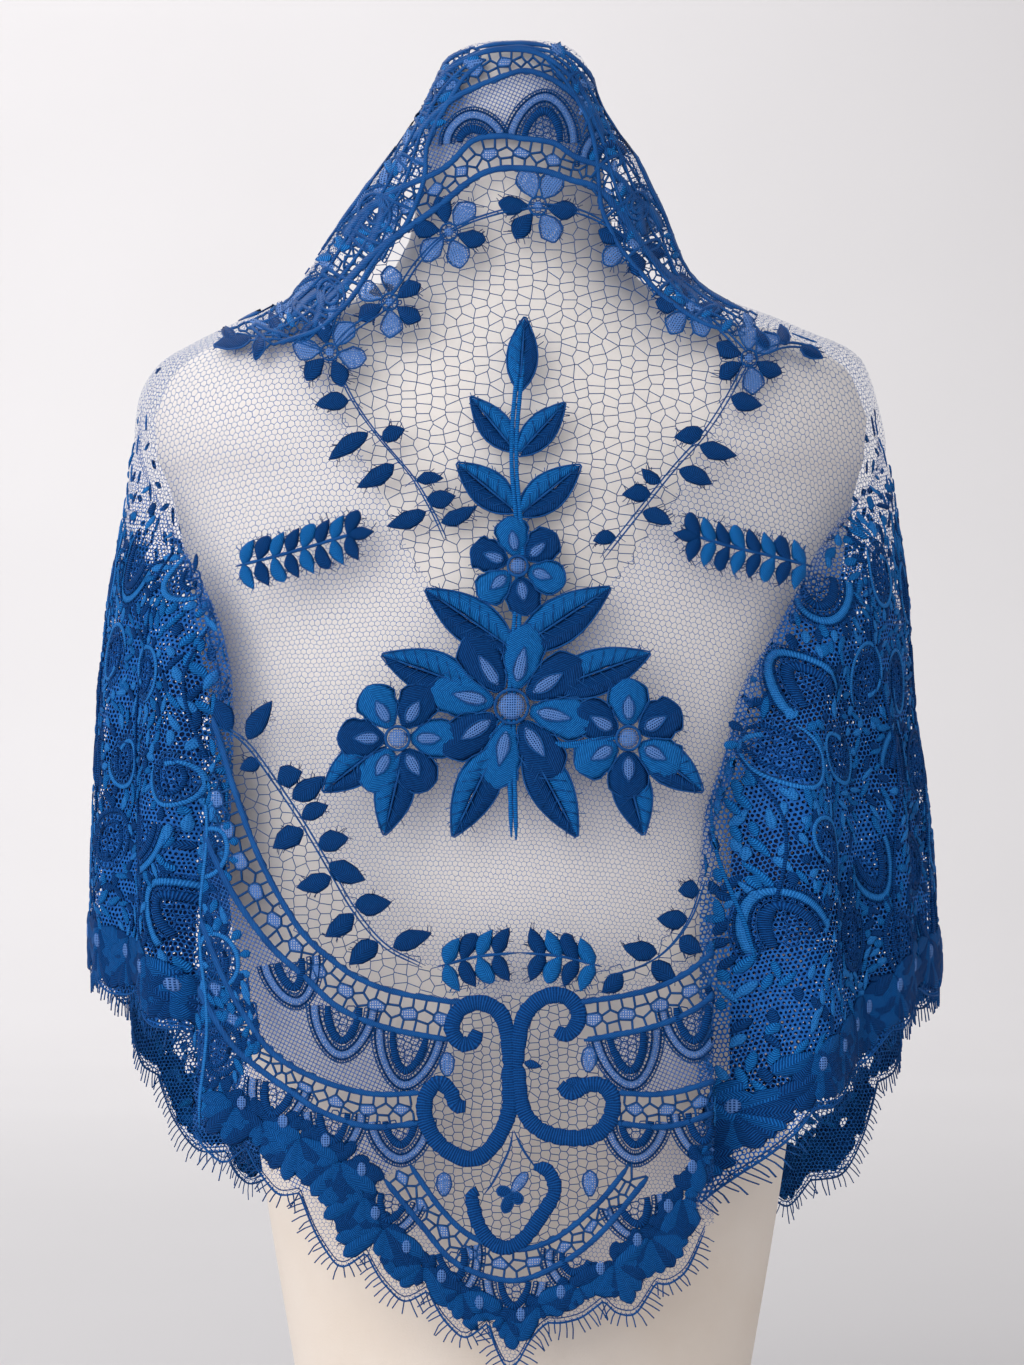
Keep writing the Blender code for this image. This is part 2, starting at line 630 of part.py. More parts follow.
def back_hem():
    """From the seam at the left to the seam at the right."""
    hem = []
    for (x0, y0, depth), (x1, y1, _) in zip(BACK_SCALLOPS, BACK_SCALLOPS[1:]):
        rough = [seen(*p) for p in lobe((x0, y0), (x1, y1), depth, 6, 1.0)] + [seen(x1, y1)]
        count = max(3, round(length_of(rough) / HEM_STEP))
        hem += [seen(*p) for p in lobe((x0, y0), (x1, y1), depth, count, 1.0)]
    hem.append(seen(*BACK_SCALLOPS[-1][:2]))
    left_end, right_end = hem[0], hem[-1]
    left_seam, right_seam = seam_angle("left", left_end[1]), seam_angle("right", right_end[1])
    hem = [p for p in hem if left_seam + 1.2 < p[0] < right_seam - 1.2]
    return [(left_seam, hem[0][1] + 0.005)] + hem + [(right_seam, hem[-1][1] + 0.006)]


def side_hem(scallops):
    """From the seam at the back to the corner in front."""
    hem = []
    for (a0, l0, depth), (a1, l1, _) in zip(scallops, scallops[1:]):
        rough = lobe((a0, l0), (a1, l1), depth, 6, -1.0) + [(a1, l1)]
        count = max(3, round(length_of(rough) / HEM_STEP))
        hem += lobe((a0, l0), (a1, l1), depth, count, -1.0)
    return hem + [scallops[-1][:2]]


def shifted(places, metres):
    """The same places a little further round, at the seams."""
    moved = []
    for angle, level in places:
        step = (cloth_point(angle + 0.05, level) - cloth_point(angle - 0.05, level)).length / 0.1
        moved.append((angle + metres / step, level))
    return moved


def fringe(name, hem, lean):
    """Threads along a hem, their roots in a narrow strip just below it. The hem runs with its angle
    rising."""
    outer, inner, faces = [], [], []

    def at(angle, level, lift):
        return cloth_point(angle, level) + cloth_normal(angle, level) * lift

    vertices = []
    for k, (angle, level) in enumerate(hem):
        step = (cloth_point(angle + 0.05, level) - cloth_point(angle - 0.05, level)).length / 0.1
        root = FRINGE_ROOT / 2 / step
        top, low = level - FRINGE_GAP, level - FRINGE_GAP - FRINGE_STRIP
        tip = low - FRINGE_LENGTH * (0.86 + 0.14 * math.sin(5.0 * k))
        slant = lean * 0.0022 * math.sin(2.3 * k) / step
        vertices += [at(angle, top, 0.0), at(angle, top, -WALL), at(angle - root, low, 0.0),
                     at(angle + root, low, 0.0), at(angle, low, -WALL), at(angle + slant, tip, -WALL * 0.4)]
    for k in range(len(hem)):
        a = 6 * k
        faces += [(a, a + 2, a + 3), (a + 2, a + 5, a + 3), (a + 3, a + 5, a + 4), (a + 4, a + 5, a + 2)]
        if k + 1 < len(hem):
            b = a + 6
            faces += [(a, a + 3, b + 2, b), (a + 1, b + 1, b + 4, a + 4), (a, b, b + 1, a + 1),
                      (a + 3, a + 4, b + 4, b + 2)]
    last = 6 * (len(hem) - 1)
    faces += [(0, 1, 4, 2), (last, last + 3, last + 4, last + 1)]
    return make_object(name, vertices, faces, LACE_BLUE)


# ---------------------------------------------------------------- dress form
def dress_form():
    rings = columns(FORM_RINGS)
    heights = [row[0] for row in FORM_RINGS]
    vertices, faces = [], []
    for height in heights:
        width, back, front, middle = (column(height) for column in rings)
        for k in range(FORM_SEGMENTS):
            turn = 2 * math.pi * k / FORM_SEGMENTS
            depth = back if math.cos(turn) > 0 else front
            vertices.append((middle + width * math.sin(turn), -depth * math.cos(turn), height))
    for r in range(len(heights) - 1):
        for k in range(FORM_SEGMENTS):
            a, b = r * FORM_SEGMENTS + k, r * FORM_SEGMENTS + (k + 1) % FORM_SEGMENTS
            faces.append((a, b, b + FORM_SEGMENTS, a + FORM_SEGMENTS))
    faces.append(tuple(range(FORM_SEGMENTS - 1, -1, -1)))
    top = (len(heights) - 1) * FORM_SEGMENTS
    faces.append(tuple(range(top, top + FORM_SEGMENTS)))
    return make_object("dress_form", vertices, faces, CREAM, 0.85)


dress_form()


# ---------------------------------------------------------------- back panel with its bands cut through
def band_cells():
    cells = []
    for _, middle, apart, right_end in BANDS:
        line = smooth_line(middle + [(2 * MIRROR_AXIS - x, y) for x, y in reversed(middle[:-1])]
                           if middle[-1][0] >= MIRROR_AXIS - 6 else middle, 3.0)
        halves = [line]
        if middle[-1][0] < MIRROR_AXIS - 6:
            halves.append([Vector((2 * MIRROR_AXIS - p.x, p.y)) for p in line])
        for half in halves:
            for side in (-0.5, 0.5):
                run = BAND_CELL_PITCH * (0.5 if side < 0 else 1.0)
                for a, b in zip(half, half[1:]):
                    run += (b - a).length
                    if run < BAND_CELL_PITCH:
                        continue
                    run -= BAND_CELL_PITCH
                    along = (b - a).normalized()
                    across = Vector((-along.y, along.x))
                    centre = b + across * apart * side
                    if centre.x > right_end:
                        continue
                    cells.append([seen(*(centre + along * BAND_CELL[0] / 2 * u + across * BAND_CELL[1] / 2 * v))
                                  for u, v in ((-1, -0.72), (0.74, -1), (1, 0.72), (-0.74, 1))])
    return cells


hem_of_back = back_hem()
half_gap = SEAM_GAP / 2
seams, seam_ends = {}, {"left": hem_of_back[0], "right": hem_of_back[-1]}
for side in ("left", "right"):
    seams[side] = [(seam_angle(side, v), v) for v in SEAM_LEVELS if v > seam_ends[side][1] + 0.006]
    seams[side].append(seam_ends[side])

crown_front = [(angle, CROWN_EDGE) for angle in CROWN_SIDE]
crown_front += [(180 + 10.0 * k, CROWN_EDGE - 0.004 * abs(math.sin(math.radians(36 * k)))) for k in range(-5, 6)]
crown_front += [(360 - angle, CROWN_EDGE) for angle in CROWN_SIDE[::-1]]
outline_of_back = (shifted(seams["left"], half_gap) + hem_of_back[1:-1] + shifted(seams["right"][::-1], -half_gap)
                   + crown_front)


def crease_lines(side, turn, offsets, most=0.57):
    """Lines along the deep fold, so that many degrees from its edge."""
    edge = fold_left if side == "left" else fold_right
    return [[(edge(v) + turn * offset, v) for v in SEAM_LEVELS[1:]
             if seam_ends[side][1] + 0.012 < v < most] for offset in offsets]


creases_of_back = crease_lines("left", -1, (-0.6, 2.6)) + crease_lines("right", 1, (-0.6, 2.6))
inner_of_back = [(0.0, CROWN_LEVEL)]
for level, count in ((0.786, 8), (0.774, 12), (0.763, 14), (0.753, 16)):
    inner_of_back += [(360.0 * k / count, level) for k in range(count)]
level = 0.742
while level > 0.10:
    first, last = fold_left(level), fold_right(level)
    count = 10 if level > 0.64 else 13
    for k in range(count):
        inner_of_back.append((first + (last - first) * (k + 0.5 + 0.1 * math.sin(40 * level)) / count, level))
    level -= 0.018 if level > 0.56 else 0.0265
hem_by_angle = through([p[0] for p in hem_of_back], [p[1] for p in hem_of_back])
inner_of_back = [p for p in inner_of_back if p[1] > 0.7 or p[1] > hem_by_angle(p[0]) + 0.006]
cells_of_back = band_cells()
back_plan = panel("back_panel", outline_of_back, cells_of_back, creases_of_back, inner_of_back, crown_plan, crown_unplan, LACE_BLUE)


# ---------------------------------------------------------------- side drapes and front panels
def grid(angles, first_level, last_level, step, keep):
    places, level = [], first_level
    while level > last_level:
        places += [(angle, level) for angle in angles if keep(angle, level)]
        level -= step
    return places


hems = {}
for side, turn, scallops, angles in (("left", -1, LEFT_SCALLOPS, LEFT_COLUMNS), ("right", 1, RIGHT_SCALLOPS, RIGHT_COLUMNS)):
    corner = (turn * SIDE_TO_FRONT, FRONT_TOP)
    whole = side_hem([(*seam_ends[side], 0.004)] + scallops)
    here = [p for p in whole if abs(p[0]) < SIDE_TO_FRONT - 1]
    there = [p for p in whole if abs(p[0]) > SIDE_TO_FRONT + 1]
    meet = (turn * SIDE_TO_FRONT, (here[-1][1] + there[0][1]) / 2)
    front_seam = [(turn * SIDE_TO_FRONT, v) for v in SEAM_LEVELS if meet[1] + 0.006 < v < FRONT_TOP - 0.006][::-1]
    long_edge = [(turn * front_edge(v), v) for v in LONG_EDGE_LEVELS]
    over = (turn * front_edge(FRONT_TOP), FRONT_TOP)
    top = [(turn * front_edge(CROWN_EDGE - 0.002), CROWN_EDGE - half_gap * 2)]
    top += [(turn * a, CROWN_EDGE - half_gap * 2) for a in CROWN_SIDE[::-1]]
    outline = (shifted(seams[side], turn * half_gap) + here[1:] + shifted([meet] + front_seam, -turn * half_gap)
               + [(corner[0] - turn * 0.05, FRONT_TOP + half_gap), (over[0], FRONT_TOP + half_gap)] + long_edge + top)
    outline[0] = (outline[0][0], CROWN_EDGE - half_gap * 2)
    rise = RISE[side]
    creases = crease_lines(side, turn, (DROP[side] + rise * 0.35, DROP[side] + rise * 0.7, DROP[side] + rise + 0.4))
    hem = through([abs(p[0]) for p in whole], [p[1] for p in whole])
    inner = grid([turn * a for a in angles], 0.716, 0.20, 0.028,
                 lambda a, v: (abs(seam_angle(side, v)) + (rise + 4 if v < 0.57 else 4) < abs(a) < front_edge(v) - 3
                               and abs(a) < SIDE_TO_FRONT - 2 and v > hem(abs(a)) + 0.008))
    panel(side + "_side_drape", outline, [], creases, inner, side_plan, side_unplan, LACE_BLUE)

    tip = there[-1]
    edge_in_front = [(turn * front_edge(v), v) for v in SEAM_LEVELS if tip[1] + 0.006 < v < FRONT_TOP - 0.006][::-1]
    outline = (shifted(front_seam[::-1] + [meet], turn * half_gap) + there + edge_in_front
               + [(over[0], FRONT_TOP - half_gap), (corner[0] + turn * 0.05, FRONT_TOP - half_gap)])
    inner = grid([turn * a for a in FRONT_COLUMNS], 0.575, 0.13, 0.028,
                 lambda a, v: abs(a) < front_edge(v) - 2.5 and v > hem(abs(a)) + 0.008)
    panel(side + "_front_panel", outline, [], [], inner, side_plan, side_unplan, LACE_BLUE)
    hems[side + "_side_fringe"] = sorted(here[1:])
    hems[side + "_front_fringe"] = sorted(there)

# ---------------------------------------------------------------- what is worked on the back
applique("flower_garland", [strip(*stem) for stem in GARLAND_STEMS] + [leaf(*l) for l in GARLAND_LEAVES]
         + [flower(x, y, r, 6, turn) for x, y, r, turn in FLOWERS], DARK_SATIN, [f[:2] for f in FLOWERS])
applique("left_leaf_garland", [strip(*LEFT_GARLAND_STEM)] + [leaf(*l) for l in LEFT_GARLAND_LEAVES], DARK_SATIN)
applique("right_leaf_garland", [strip(*RIGHT_GARLAND_STEM)] + [leaf(*l) for l in RIGHT_GARLAND_LEAVES], DARK_SATIN)
applique("centre_spray", [strip(*stem) for stem in SPRAY_STEMS] + [leaf(*l) for l in SPRAY_LEAVES]
         + [flower(*f) for f in SPRAY_FLOWERS], DARK_SATIN, [f[:2] for f in SPRAY_FLOWERS])
applique("scroll_motif", [strip(*scroll) for scroll in SCROLLS], DARK_SATIN)

# ---------------------------------------------------------------- eyelash fringe of the hem
fringe("back_fringe", hem_of_back[1:-1], 1.0)
for name, hem in hems.items():
    fringe(name, hem, 1.0)
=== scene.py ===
"""Lace shawl on a limbless dress form: the looks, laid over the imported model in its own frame."""
import json
import math

import bmesh
import bpy
import numpy as np
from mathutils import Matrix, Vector
from mathutils.geometry import delaunay_2d_cdt

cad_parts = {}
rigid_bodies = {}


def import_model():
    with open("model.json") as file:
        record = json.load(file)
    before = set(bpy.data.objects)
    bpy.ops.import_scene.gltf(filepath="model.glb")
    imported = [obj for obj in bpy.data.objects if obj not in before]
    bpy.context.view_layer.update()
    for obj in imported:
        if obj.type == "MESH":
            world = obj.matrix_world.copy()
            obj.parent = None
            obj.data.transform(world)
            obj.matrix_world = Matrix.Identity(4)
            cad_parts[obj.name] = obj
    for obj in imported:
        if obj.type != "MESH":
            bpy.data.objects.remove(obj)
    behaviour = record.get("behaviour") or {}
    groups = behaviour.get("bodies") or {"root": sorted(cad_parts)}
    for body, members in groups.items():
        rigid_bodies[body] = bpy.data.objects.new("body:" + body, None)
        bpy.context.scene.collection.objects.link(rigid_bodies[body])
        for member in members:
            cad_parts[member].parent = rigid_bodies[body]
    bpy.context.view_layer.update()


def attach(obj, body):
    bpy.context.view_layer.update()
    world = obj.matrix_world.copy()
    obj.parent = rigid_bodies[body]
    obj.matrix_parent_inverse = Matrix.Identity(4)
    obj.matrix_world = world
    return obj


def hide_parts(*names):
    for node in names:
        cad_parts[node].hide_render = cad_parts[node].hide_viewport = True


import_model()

for thing in bpy.context.scene.objects:
    thing.select_set(False)

# ---------------------------------------------------------------- studio: camera, sweep and lights
# A plain pale paper sweep, a large soft key from the left, and a weak fill: the figure is shown from
# straight behind at the height of its blades, with a long lens.
EYE = (-0.0042, -2.2, 0.422)
bpy.ops.object.camera_add(location=EYE, rotation=(math.radians(90), 0, 0))
camera = bpy.context.object
camera.name = "studio_camera"
camera.data.sensor_width = 36.0
camera.data.lens = 109.5
camera.data.clip_end = 20.0
bpy.context.scene.camera = camera

bpy.ops.mesh.primitive_plane_add(size=1, location=(0, -0.35, 0))
sweep = bpy.context.object
sweep.name = "paper_sweep"
bpy.ops.object.mode_set(mode="EDIT")
bpy.ops.transform.resize(value=(9.0, 5.9, 1.0), center_override=(0, -0.35, 0))
bpy.ops.mesh.select_mode(type="EDGE")
bpy.ops.mesh.select_all(action="DESELECT")
mesh = bmesh.from_edit_mesh(sweep.data)
for edge in mesh.edges:
    if all(v.co.y > 0.4 for v in edge.verts):
        edge.select = True
bmesh.update_edit_mesh(sweep.data)
for step in range(12):
    turn = math.radians(7.5 * (step + 0.5))
    bpy.ops.mesh.extrude_region_move(TRANSFORM_OT_translate={"value": (0, 0.183 * math.cos(turn),
        0.183 * math.sin(turn))})
bpy.ops.mesh.extrude_region_move(TRANSFORM_OT_translate={"value": (0, 0, 3.2)})
bpy.ops.object.mode_set(mode="OBJECT")
bpy.ops.object.transform_apply(location=True, rotation=True, scale=True)
bpy.ops.object.shade_smooth()


def new_finish(name, roughness, gloss):
    """A new material, its node tree and its shader."""
    made = bpy.data.materials.new(name)
    made.use_nodes = True
    shader = made.node_tree.nodes["Principled BSDF"]
    shader.inputs["Roughness"].default_value = roughness
    shader.inputs["Specular IOR Level"].default_value = gloss
    return made, made.node_tree, shader


def place_in(tree):
    return tree.nodes.new("ShaderNodeTexCoord").outputs["Object"]


def noise(tree, where, scale, detail=2.0, roughness=0.5):
    made = tree.nodes.new("ShaderNodeTexNoise")
    for name, value in (("Scale", scale), ("Detail", detail), ("Roughness", roughness)):
        made.inputs[name].default_value = value
    tree.links.new(where, made.inputs["Vector"])
    return made.outputs


def tinted(tree, share, dark, pale, low=0.0, high=1.0):
    """A colour from a dark one to a pale one, as the share goes from low to high."""
    ramp = tree.nodes.new("ShaderNodeValToRGB")
    for end, at, colour in zip(ramp.color_ramp.elements, (low, high), (dark, pale)):
        end.position = at
        end.color = (*colour, 1)
    tree.links.new(share, ramp.inputs["Fac"])
    return ramp.outputs["Color"]


paper, tree, shader = new_finish("studio_paper", 0.95, 0.1)
tooth = noise(tree, place_in(tree), 2.0)["Fac"]
tree.links.new(tinted(tree, tooth, (0.635, 0.615, 0.62), (0.675, 0.655, 0.66)), shader.inputs["Base Color"])
sweep.data.materials.append(paper)

sky = bpy.context.scene.world or bpy.data.worlds.new("studio_air")
bpy.context.scene.world = sky
sky.use_nodes = True
sky.node_tree.nodes["Background"].inputs["Color"].default_value = (0.97, 0.98, 1.0, 1)
sky.node_tree.nodes["Background"].inputs["Strength"].default_value = 0.56
for name, place, aim, size, power in (
        ("key_light", (-1.8, -1.8, 1.45), (0, 0, 0.46), 2.6, 43.0),
        ("paper_light", (-0.4, 2.3, 2.6), (0.0, 4.0, 1.9), 2.0, 19.0),
        ("floor_light", (-1.1, 2.1, 2.9), (-1.2, 2.3, 0.0), 2.0, 50.0),
        ("fill_light", (-0.3, -2.7, 1.5), (0, 0, 0.6), 2.0, 12.0)):
    bpy.ops.object.light_add(type="AREA", location=place)
    lamp = bpy.context.object
    lamp.name = name
    lamp.rotation_euler = (Vector(aim) - Vector(place)).to_track_quat("-Z", "Y").to_euler()
    lamp.data.size = size
    lamp.data.energy = power
    lamp.visible_camera = False
bpy.context.scene.view_settings.view_transform = "Standard"

# ---------------------------------------------------------------- dress form
# A limbless torso with a tall neck, moulded in papier mache and covered in cream jersey that is drawn
# smooth over it. It stands on its flat lower end, and wadding fills its shoulders out to the lace.
FORM_RINGS = [
    # height, half width, depth at the back, depth in front, middle in x
    (0, 0.11, 0.08, 0.082, 0.0015), (0.06, 0.1205, 0.086, 0.087, 0.0015),
    (0.166, 0.138, 0.095, 0.093, 0.0015), (0.26, 0.15, 0.0995, 0.096, 0.001),
    (0.36, 0.159, 0.103, 0.098, 0), (0.44, 0.167, 0.105, 0.096, -0.002),
    (0.5, 0.176, 0.1035, 0.088, -0.003), (0.535, 0.1815, 0.099, 0.081, -0.004),
    (0.56, 0.1815, 0.093, 0.074, -0.004), (0.576, 0.1745, 0.087, 0.068, -0.004),
    (0.588, 0.16, 0.081, 0.062, -0.004), (0.598, 0.138, 0.075, 0.057, -0.004),
    (0.608, 0.113, 0.069, 0.052, -0.004), (0.62, 0.087, 0.063, 0.0485, -0.004),
    (0.635, 0.067, 0.057, 0.046, -0.004), (0.655, 0.055, 0.052, 0.044, -0.004),
    (0.685, 0.049, 0.048, 0.0425, -0.004), (0.715, 0.046, 0.0455, 0.0405, -0.004),
    (0.73, 0.042, 0.043, 0.0385, -0.004), (0.742, 0.0372, 0.039, 0.035, -0.003),
    (0.7505, 0.031, 0.032, 0.03, -0.0025), (0.756, 0.0215, 0.022, 0.021, -0.0015),
    (0.7579, 0.012, 0.012, 0.012, -0.0005),
]


def through(xs, ys):
    """A smooth curve through the points that never overshoots between them."""
    order = np.argsort(xs)
    xs, ys = np.array(xs, float)[order], np.array(ys, float)[order]
    gaps, rises = np.diff(xs), np.diff(ys) / np.diff(xs)
    left, right = rises[:-1], rises[1:]
    total = np.where(left * right > 0, left + right, 1.0)
    slopes = np.concatenate([rises[:1], np.where(left * right > 0, 2 * left * right / total, 0.0),
                             rises[-1:]])

    def value(x):
        x = np.clip(x, xs[0], xs[-1])
        i = np.clip(np.searchsorted(xs, x, side="right") - 1, 0, len(gaps) - 1)
        t = (x - xs[i]) / gaps[i]
        return (ys[i] * (1 + 2 * t) * (1 - t) ** 2 + slopes[i] * gaps[i] * t * (1 - t) ** 2
                + ys[i + 1] * t * t * (3 - 2 * t) + slopes[i + 1] * gaps[i] * t * t * (t - 1))

    return value


def columns(table):
    first = [row[0] for row in table]
    return [through(first, [row[k] for row in table]) for k in range(1, len(table[0]))]


def ease(t):
    t = np.clip(t, 0.0, 1.0)
    return t * t * (3 - 2 * t)


form_width, form_back, form_front, form_middle = columns(FORM_RINGS)
heights = sorted(set([row[0] for row in FORM_RINGS] + [0.004, 0.02]
                     + list(np.arange(0.04, 0.7, 0.02).round(4))))
bpy.ops.mesh.primitive_circle_add(vertices=96, radius=1.0, fill_type="NGON", location=(0, 0, 0))
form = bpy.context.object
form.name = "dress_form_body"
bpy.ops.object.mode_set(mode="EDIT")
wide, deep, low = float(form_width(0)) - 0.003, float(form_back(0)) - 0.003, 0.0
bpy.ops.transform.resize(value=(wide, deep, 1), center_override=(0, 0, 0))
for height in heights[1:]:
    now_wide, now_deep = float(form_width(height)), float(form_back(height))
    bpy.ops.mesh.extrude_region_move(TRANSFORM_OT_translate={"value": (0, 0, height - low)})
    bpy.ops.transform.resize(value=(now_wide / wide, now_deep / deep, 1), center_override=(0, 0, height))
    wide, deep, low = now_wide, now_deep, height
mesh = bmesh.from_edit_mesh(form.data)
for corner in mesh.verts:
    if corner.co.y > 0:
        corner.co.y *= float(form_front(corner.co.z) / form_back(corner.co.z))
    corner.co.x += float(form_middle(corner.co.z))
bmesh.ops.recalc_face_normals(mesh, faces=mesh.faces[:])
mesh.normal_update()
lace_over_form = [bpy.data.objects[node] for node in ("back_panel", "left_side_drape", "right_side_drape")]
WADDING, FREE_OF_LACE = 0.019, 0.0035
wadding = {}
for corner in mesh.verts:
    x, z = abs(corner.co.x), corner.co.z
    share = ease((z - 0.52) / 0.035) * ease((0.628 - z) / 0.02) * ease((x - 0.07) / 0.05)
    if share > 0:
        hits = [lace.ray_cast(corner.co, corner.normal) for lace in lace_over_form]
        gaps = [(place - corner.co).length for hit, place, _, _ in hits if hit]
        wadding[corner] = float(share) * max(0.0, min([WADDING] + gaps) - FREE_OF_LACE) if gaps else 0.0
most = dict(wadding)
for _ in range(6):
    for corner in most:
        beside = [wadding.get(edge.other_vert(corner), 0.0) for edge in corner.link_edges]
        wadding[corner] = min(most[corner], 0.4 * wadding[corner] + 0.6 * sum(beside) / len(beside))
for corner, out in wadding.items():
    corner.co += corner.normal * out
bmesh.update_edit_mesh(form.data)
bpy.ops.object.mode_set(mode="OBJECT")
bpy.ops.object.shade_smooth_by_angle(angle=math.radians(50))


def parts(tree, vector):
    """The three numbers of a vector."""
    made = tree.nodes.new("ShaderNodeSeparateXYZ")
    tree.links.new(vector, made.inputs[0])
    return made.outputs


def relief(tree, shader, height, strength, distance):
    bump = tree.nodes.new("ShaderNodeBump")
    bump.inputs["Strength"].default_value = strength
    bump.inputs["Distance"].default_value = distance
    tree.links.new(height, bump.inputs["Height"])
    tree.links.new(bump.outputs["Normal"], shader.inputs["Normal"])


jersey, tree, shader = new_finish("cream_jersey", 0.72, 0.25)
shader.inputs["Sheen Weight"].default_value = 0.12
where = place_in(tree)
cloudy = noise(tree, where, 14.0, 5.0)["Fac"]
mottled_jersey = tinted(tree, cloudy, (0.83, 0.715, 0.612), (0.895, 0.8, 0.715), 0.3, 0.72)
painted_light_from_height = tree.nodes.new("ShaderNodeMapRange")  # painted light: above about 0.3 m the jersey is painted paler, making up for the shade the lace casts on the upper form
painted_light_from_height.inputs["From Min"].default_value = 0.14
painted_light_from_height.inputs["From Max"].default_value = 0.34
tree.links.new(parts(tree, where)["Z"], painted_light_from_height.inputs["Value"])
painted_light_on_top = tree.nodes.new("ShaderNodeMix")
painted_light_on_top.data_type = "RGBA"
share, below, above = painted_light_on_top.inputs[0], painted_light_on_top.inputs[6], painted_light_on_top.inputs[7]
above.default_value = (0.93, 0.865, 0.815, 1)
tree.links.new(painted_light_from_height.outputs["Result"], share)
tree.links.new(mottled_jersey, below)
tree.links.new(painted_light_on_top.outputs[2], shader.inputs["Base Color"])
relief(tree, shader, noise(tree, where, 900.0)["Fac"], 0.25, 0.0005)
form.data.materials.append(jersey)
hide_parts("dress_form")
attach(form, "root")

# ---------------------------------------------------------------- back panel: the net ground
# The back and the hood are one width of cobalt lace: a fine six-sided net, made with the motifs in
# one go. It lies over the neck, rests on the shoulders and hangs in a few soft folds to its point.
CROWN_LEVEL, SQUARE, CROWN_EDGE = 0.8, 0.3, 0.742
RINGS = [
    # level, half width left and right, depth at the back and in front
    (0.8, 0.0004, 0.0004, 0.0004, 0.0004), (0.782, 0.018, 0.0172, 0.0175, 0.0165),
    (0.77, 0.029, 0.0262, 0.0285, 0.0265), (0.757, 0.0375, 0.033, 0.0375, 0.035),
    (0.744, 0.0424, 0.0372, 0.0435, 0.039), (0.73, 0.0488, 0.0412, 0.0485, 0.042),
    (0.715, 0.0583, 0.05, 0.052, 0.044), (0.696, 0.0716, 0.0636, 0.056, 0.0465),
    (0.6775, 0.0859, 0.0731, 0.0605, 0.0495), (0.656, 0.1007, 0.0816, 0.0665, 0.0535),
    (0.638, 0.113, 0.0895, 0.0725, 0.058), (0.625, 0.1225, 0.107, 0.078, 0.0615),
    (0.614, 0.1455, 0.136, 0.083, 0.065), (0.606, 0.163, 0.155, 0.087, 0.068),
    (0.599, 0.1765, 0.1725, 0.09, 0.0705), (0.592, 0.1885, 0.181, 0.0935, 0.073),
    (0.582, 0.197, 0.1855, 0.098, 0.077), (0.57, 0.202, 0.189, 0.102, 0.0815),
    (0.55, 0.2045, 0.1935, 0.107, 0.088), (0.52, 0.2078, 0.1977, 0.1115, 0.095),
    (0.465, 0.2173, 0.2051, 0.1175, 0.103), (0.41, 0.2221, 0.209, 0.1215, 0.108),
    (0.36, 0.2237, 0.2162, 0.1245, 0.111), (0.306, 0.2247, 0.2205, 0.127, 0.1135),
    (0.27, 0.2245, 0.2215, 0.129, 0.115), (0.15, 0.223, 0.2215, 0.134, 0.118),
    (0.04, 0.222, 0.221, 0.138, 0.12),
]
FOLD_EDGES = [
    # level, angle where the back folds in at the left and at the right
    (0.745, -85, 85), (0.58, -85, 85), (0.556, -84, 85), (0.535, -74, 76), (0.513, -65, 63),
    (0.498, -60, 55), (0.482, -54.5, 49.5), (0.447, -47, 41), (0.418, -45, 34.5), (0.39, -45, 31.5),
    (0.35, -46, 26.5), (0.3, -46.5, 25.5), (0.2, -48.5, 25.5), (0.04, -50, 25.5),
]
DEEP_LEVELS = (0.585, 0.52, 0.4, 0.18)
DEEP_FOLDS = {"left": (5, 6.5, (0, 0.008, 0.024, 0.03)), "right": (5, 10, (0, 0.009, 0.027, 0.034))}
SOFT_FOLDS = [
    # angle, half width in degrees, depth inwards, level where it starts, level where it is full
    (-6, 9, 0.003, 0.5, 0.3), (-24, 7, -0.004, 0.46, 0.22), (12, 6, -0.0035, 0.44, 0.22),
    (-37, 6, 0.004, 0.4, 0.2), (-58, 12, 0.005, 0.7, 0.655), (60, 12, 0.0045, 0.7, 0.655),
    (-68, 5, 0.006, 0.5, 0.32), (-86, 6.5, -0.002, 0.48, 0.3), (-103, 6, 0.008, 0.5, 0.32),
    (43, 4, -0.004, 0.42, 0.3), (56, 5, 0.007, 0.48, 0.32), (74, 6, 0.0055, 0.5, 0.3),
    (104, 6, 0.008, 0.5, 0.32), (-130, 5, 0.008, 0.5, 0.3), (132, 5, 0.008, 0.5, 0.3),
]
CREASES = [
    # small creases: angle and level of each end, half width in degrees, depth inwards
    (-20, 0.64, -62, 0.59, 5, 0.0016), (22, 0.64, 60, 0.592, 5, 0.0014),
    (-10, 0.56, -34, 0.47, 4, 0.0012), (30, 0.56, 16, 0.45, 4, -0.0013),
    (-2, 0.41, -8, 0.25, 2.6, 0.0016), (6, 0.36, 3, 0.2, 2.4, -0.0014),
    (-30, 0.33, -32, 0.17, 2.2, -0.0016), (-15, 0.25, -17, 0.15, 2, 0.0015),
    (19, 0.33, 19, 0.17, 2, 0.0016), (-74, 0.42, -77, 0.25, 2.4, -0.003),
    (-62, 0.43, -60, 0.24, 2.2, -0.0026), (-95, 0.45, -96, 0.26, 2.6, 0.0034),
    (-112, 0.42, -113, 0.23, 2.4, 0.003), (49, 0.42, 50, 0.24, 2, 0.003),
    (66, 0.44, 67, 0.27, 2.2, -0.003), (85, 0.46, 86, 0.28, 2.6, 0.0032),
    (96, 0.43, 95, 0.26, 2.2, -0.0026), (112, 0.43, 113, 0.24, 2.4, 0.003),
    (-122, 0.5, -124, 0.2, 2.2, -0.0026), (-139, 0.47, -140, 0.19, 2.4, 0.0028),
    (124, 0.5, 125, 0.19, 2.2, -0.0026), (141, 0.46, 141, 0.19, 2.4, 0.0028),
]

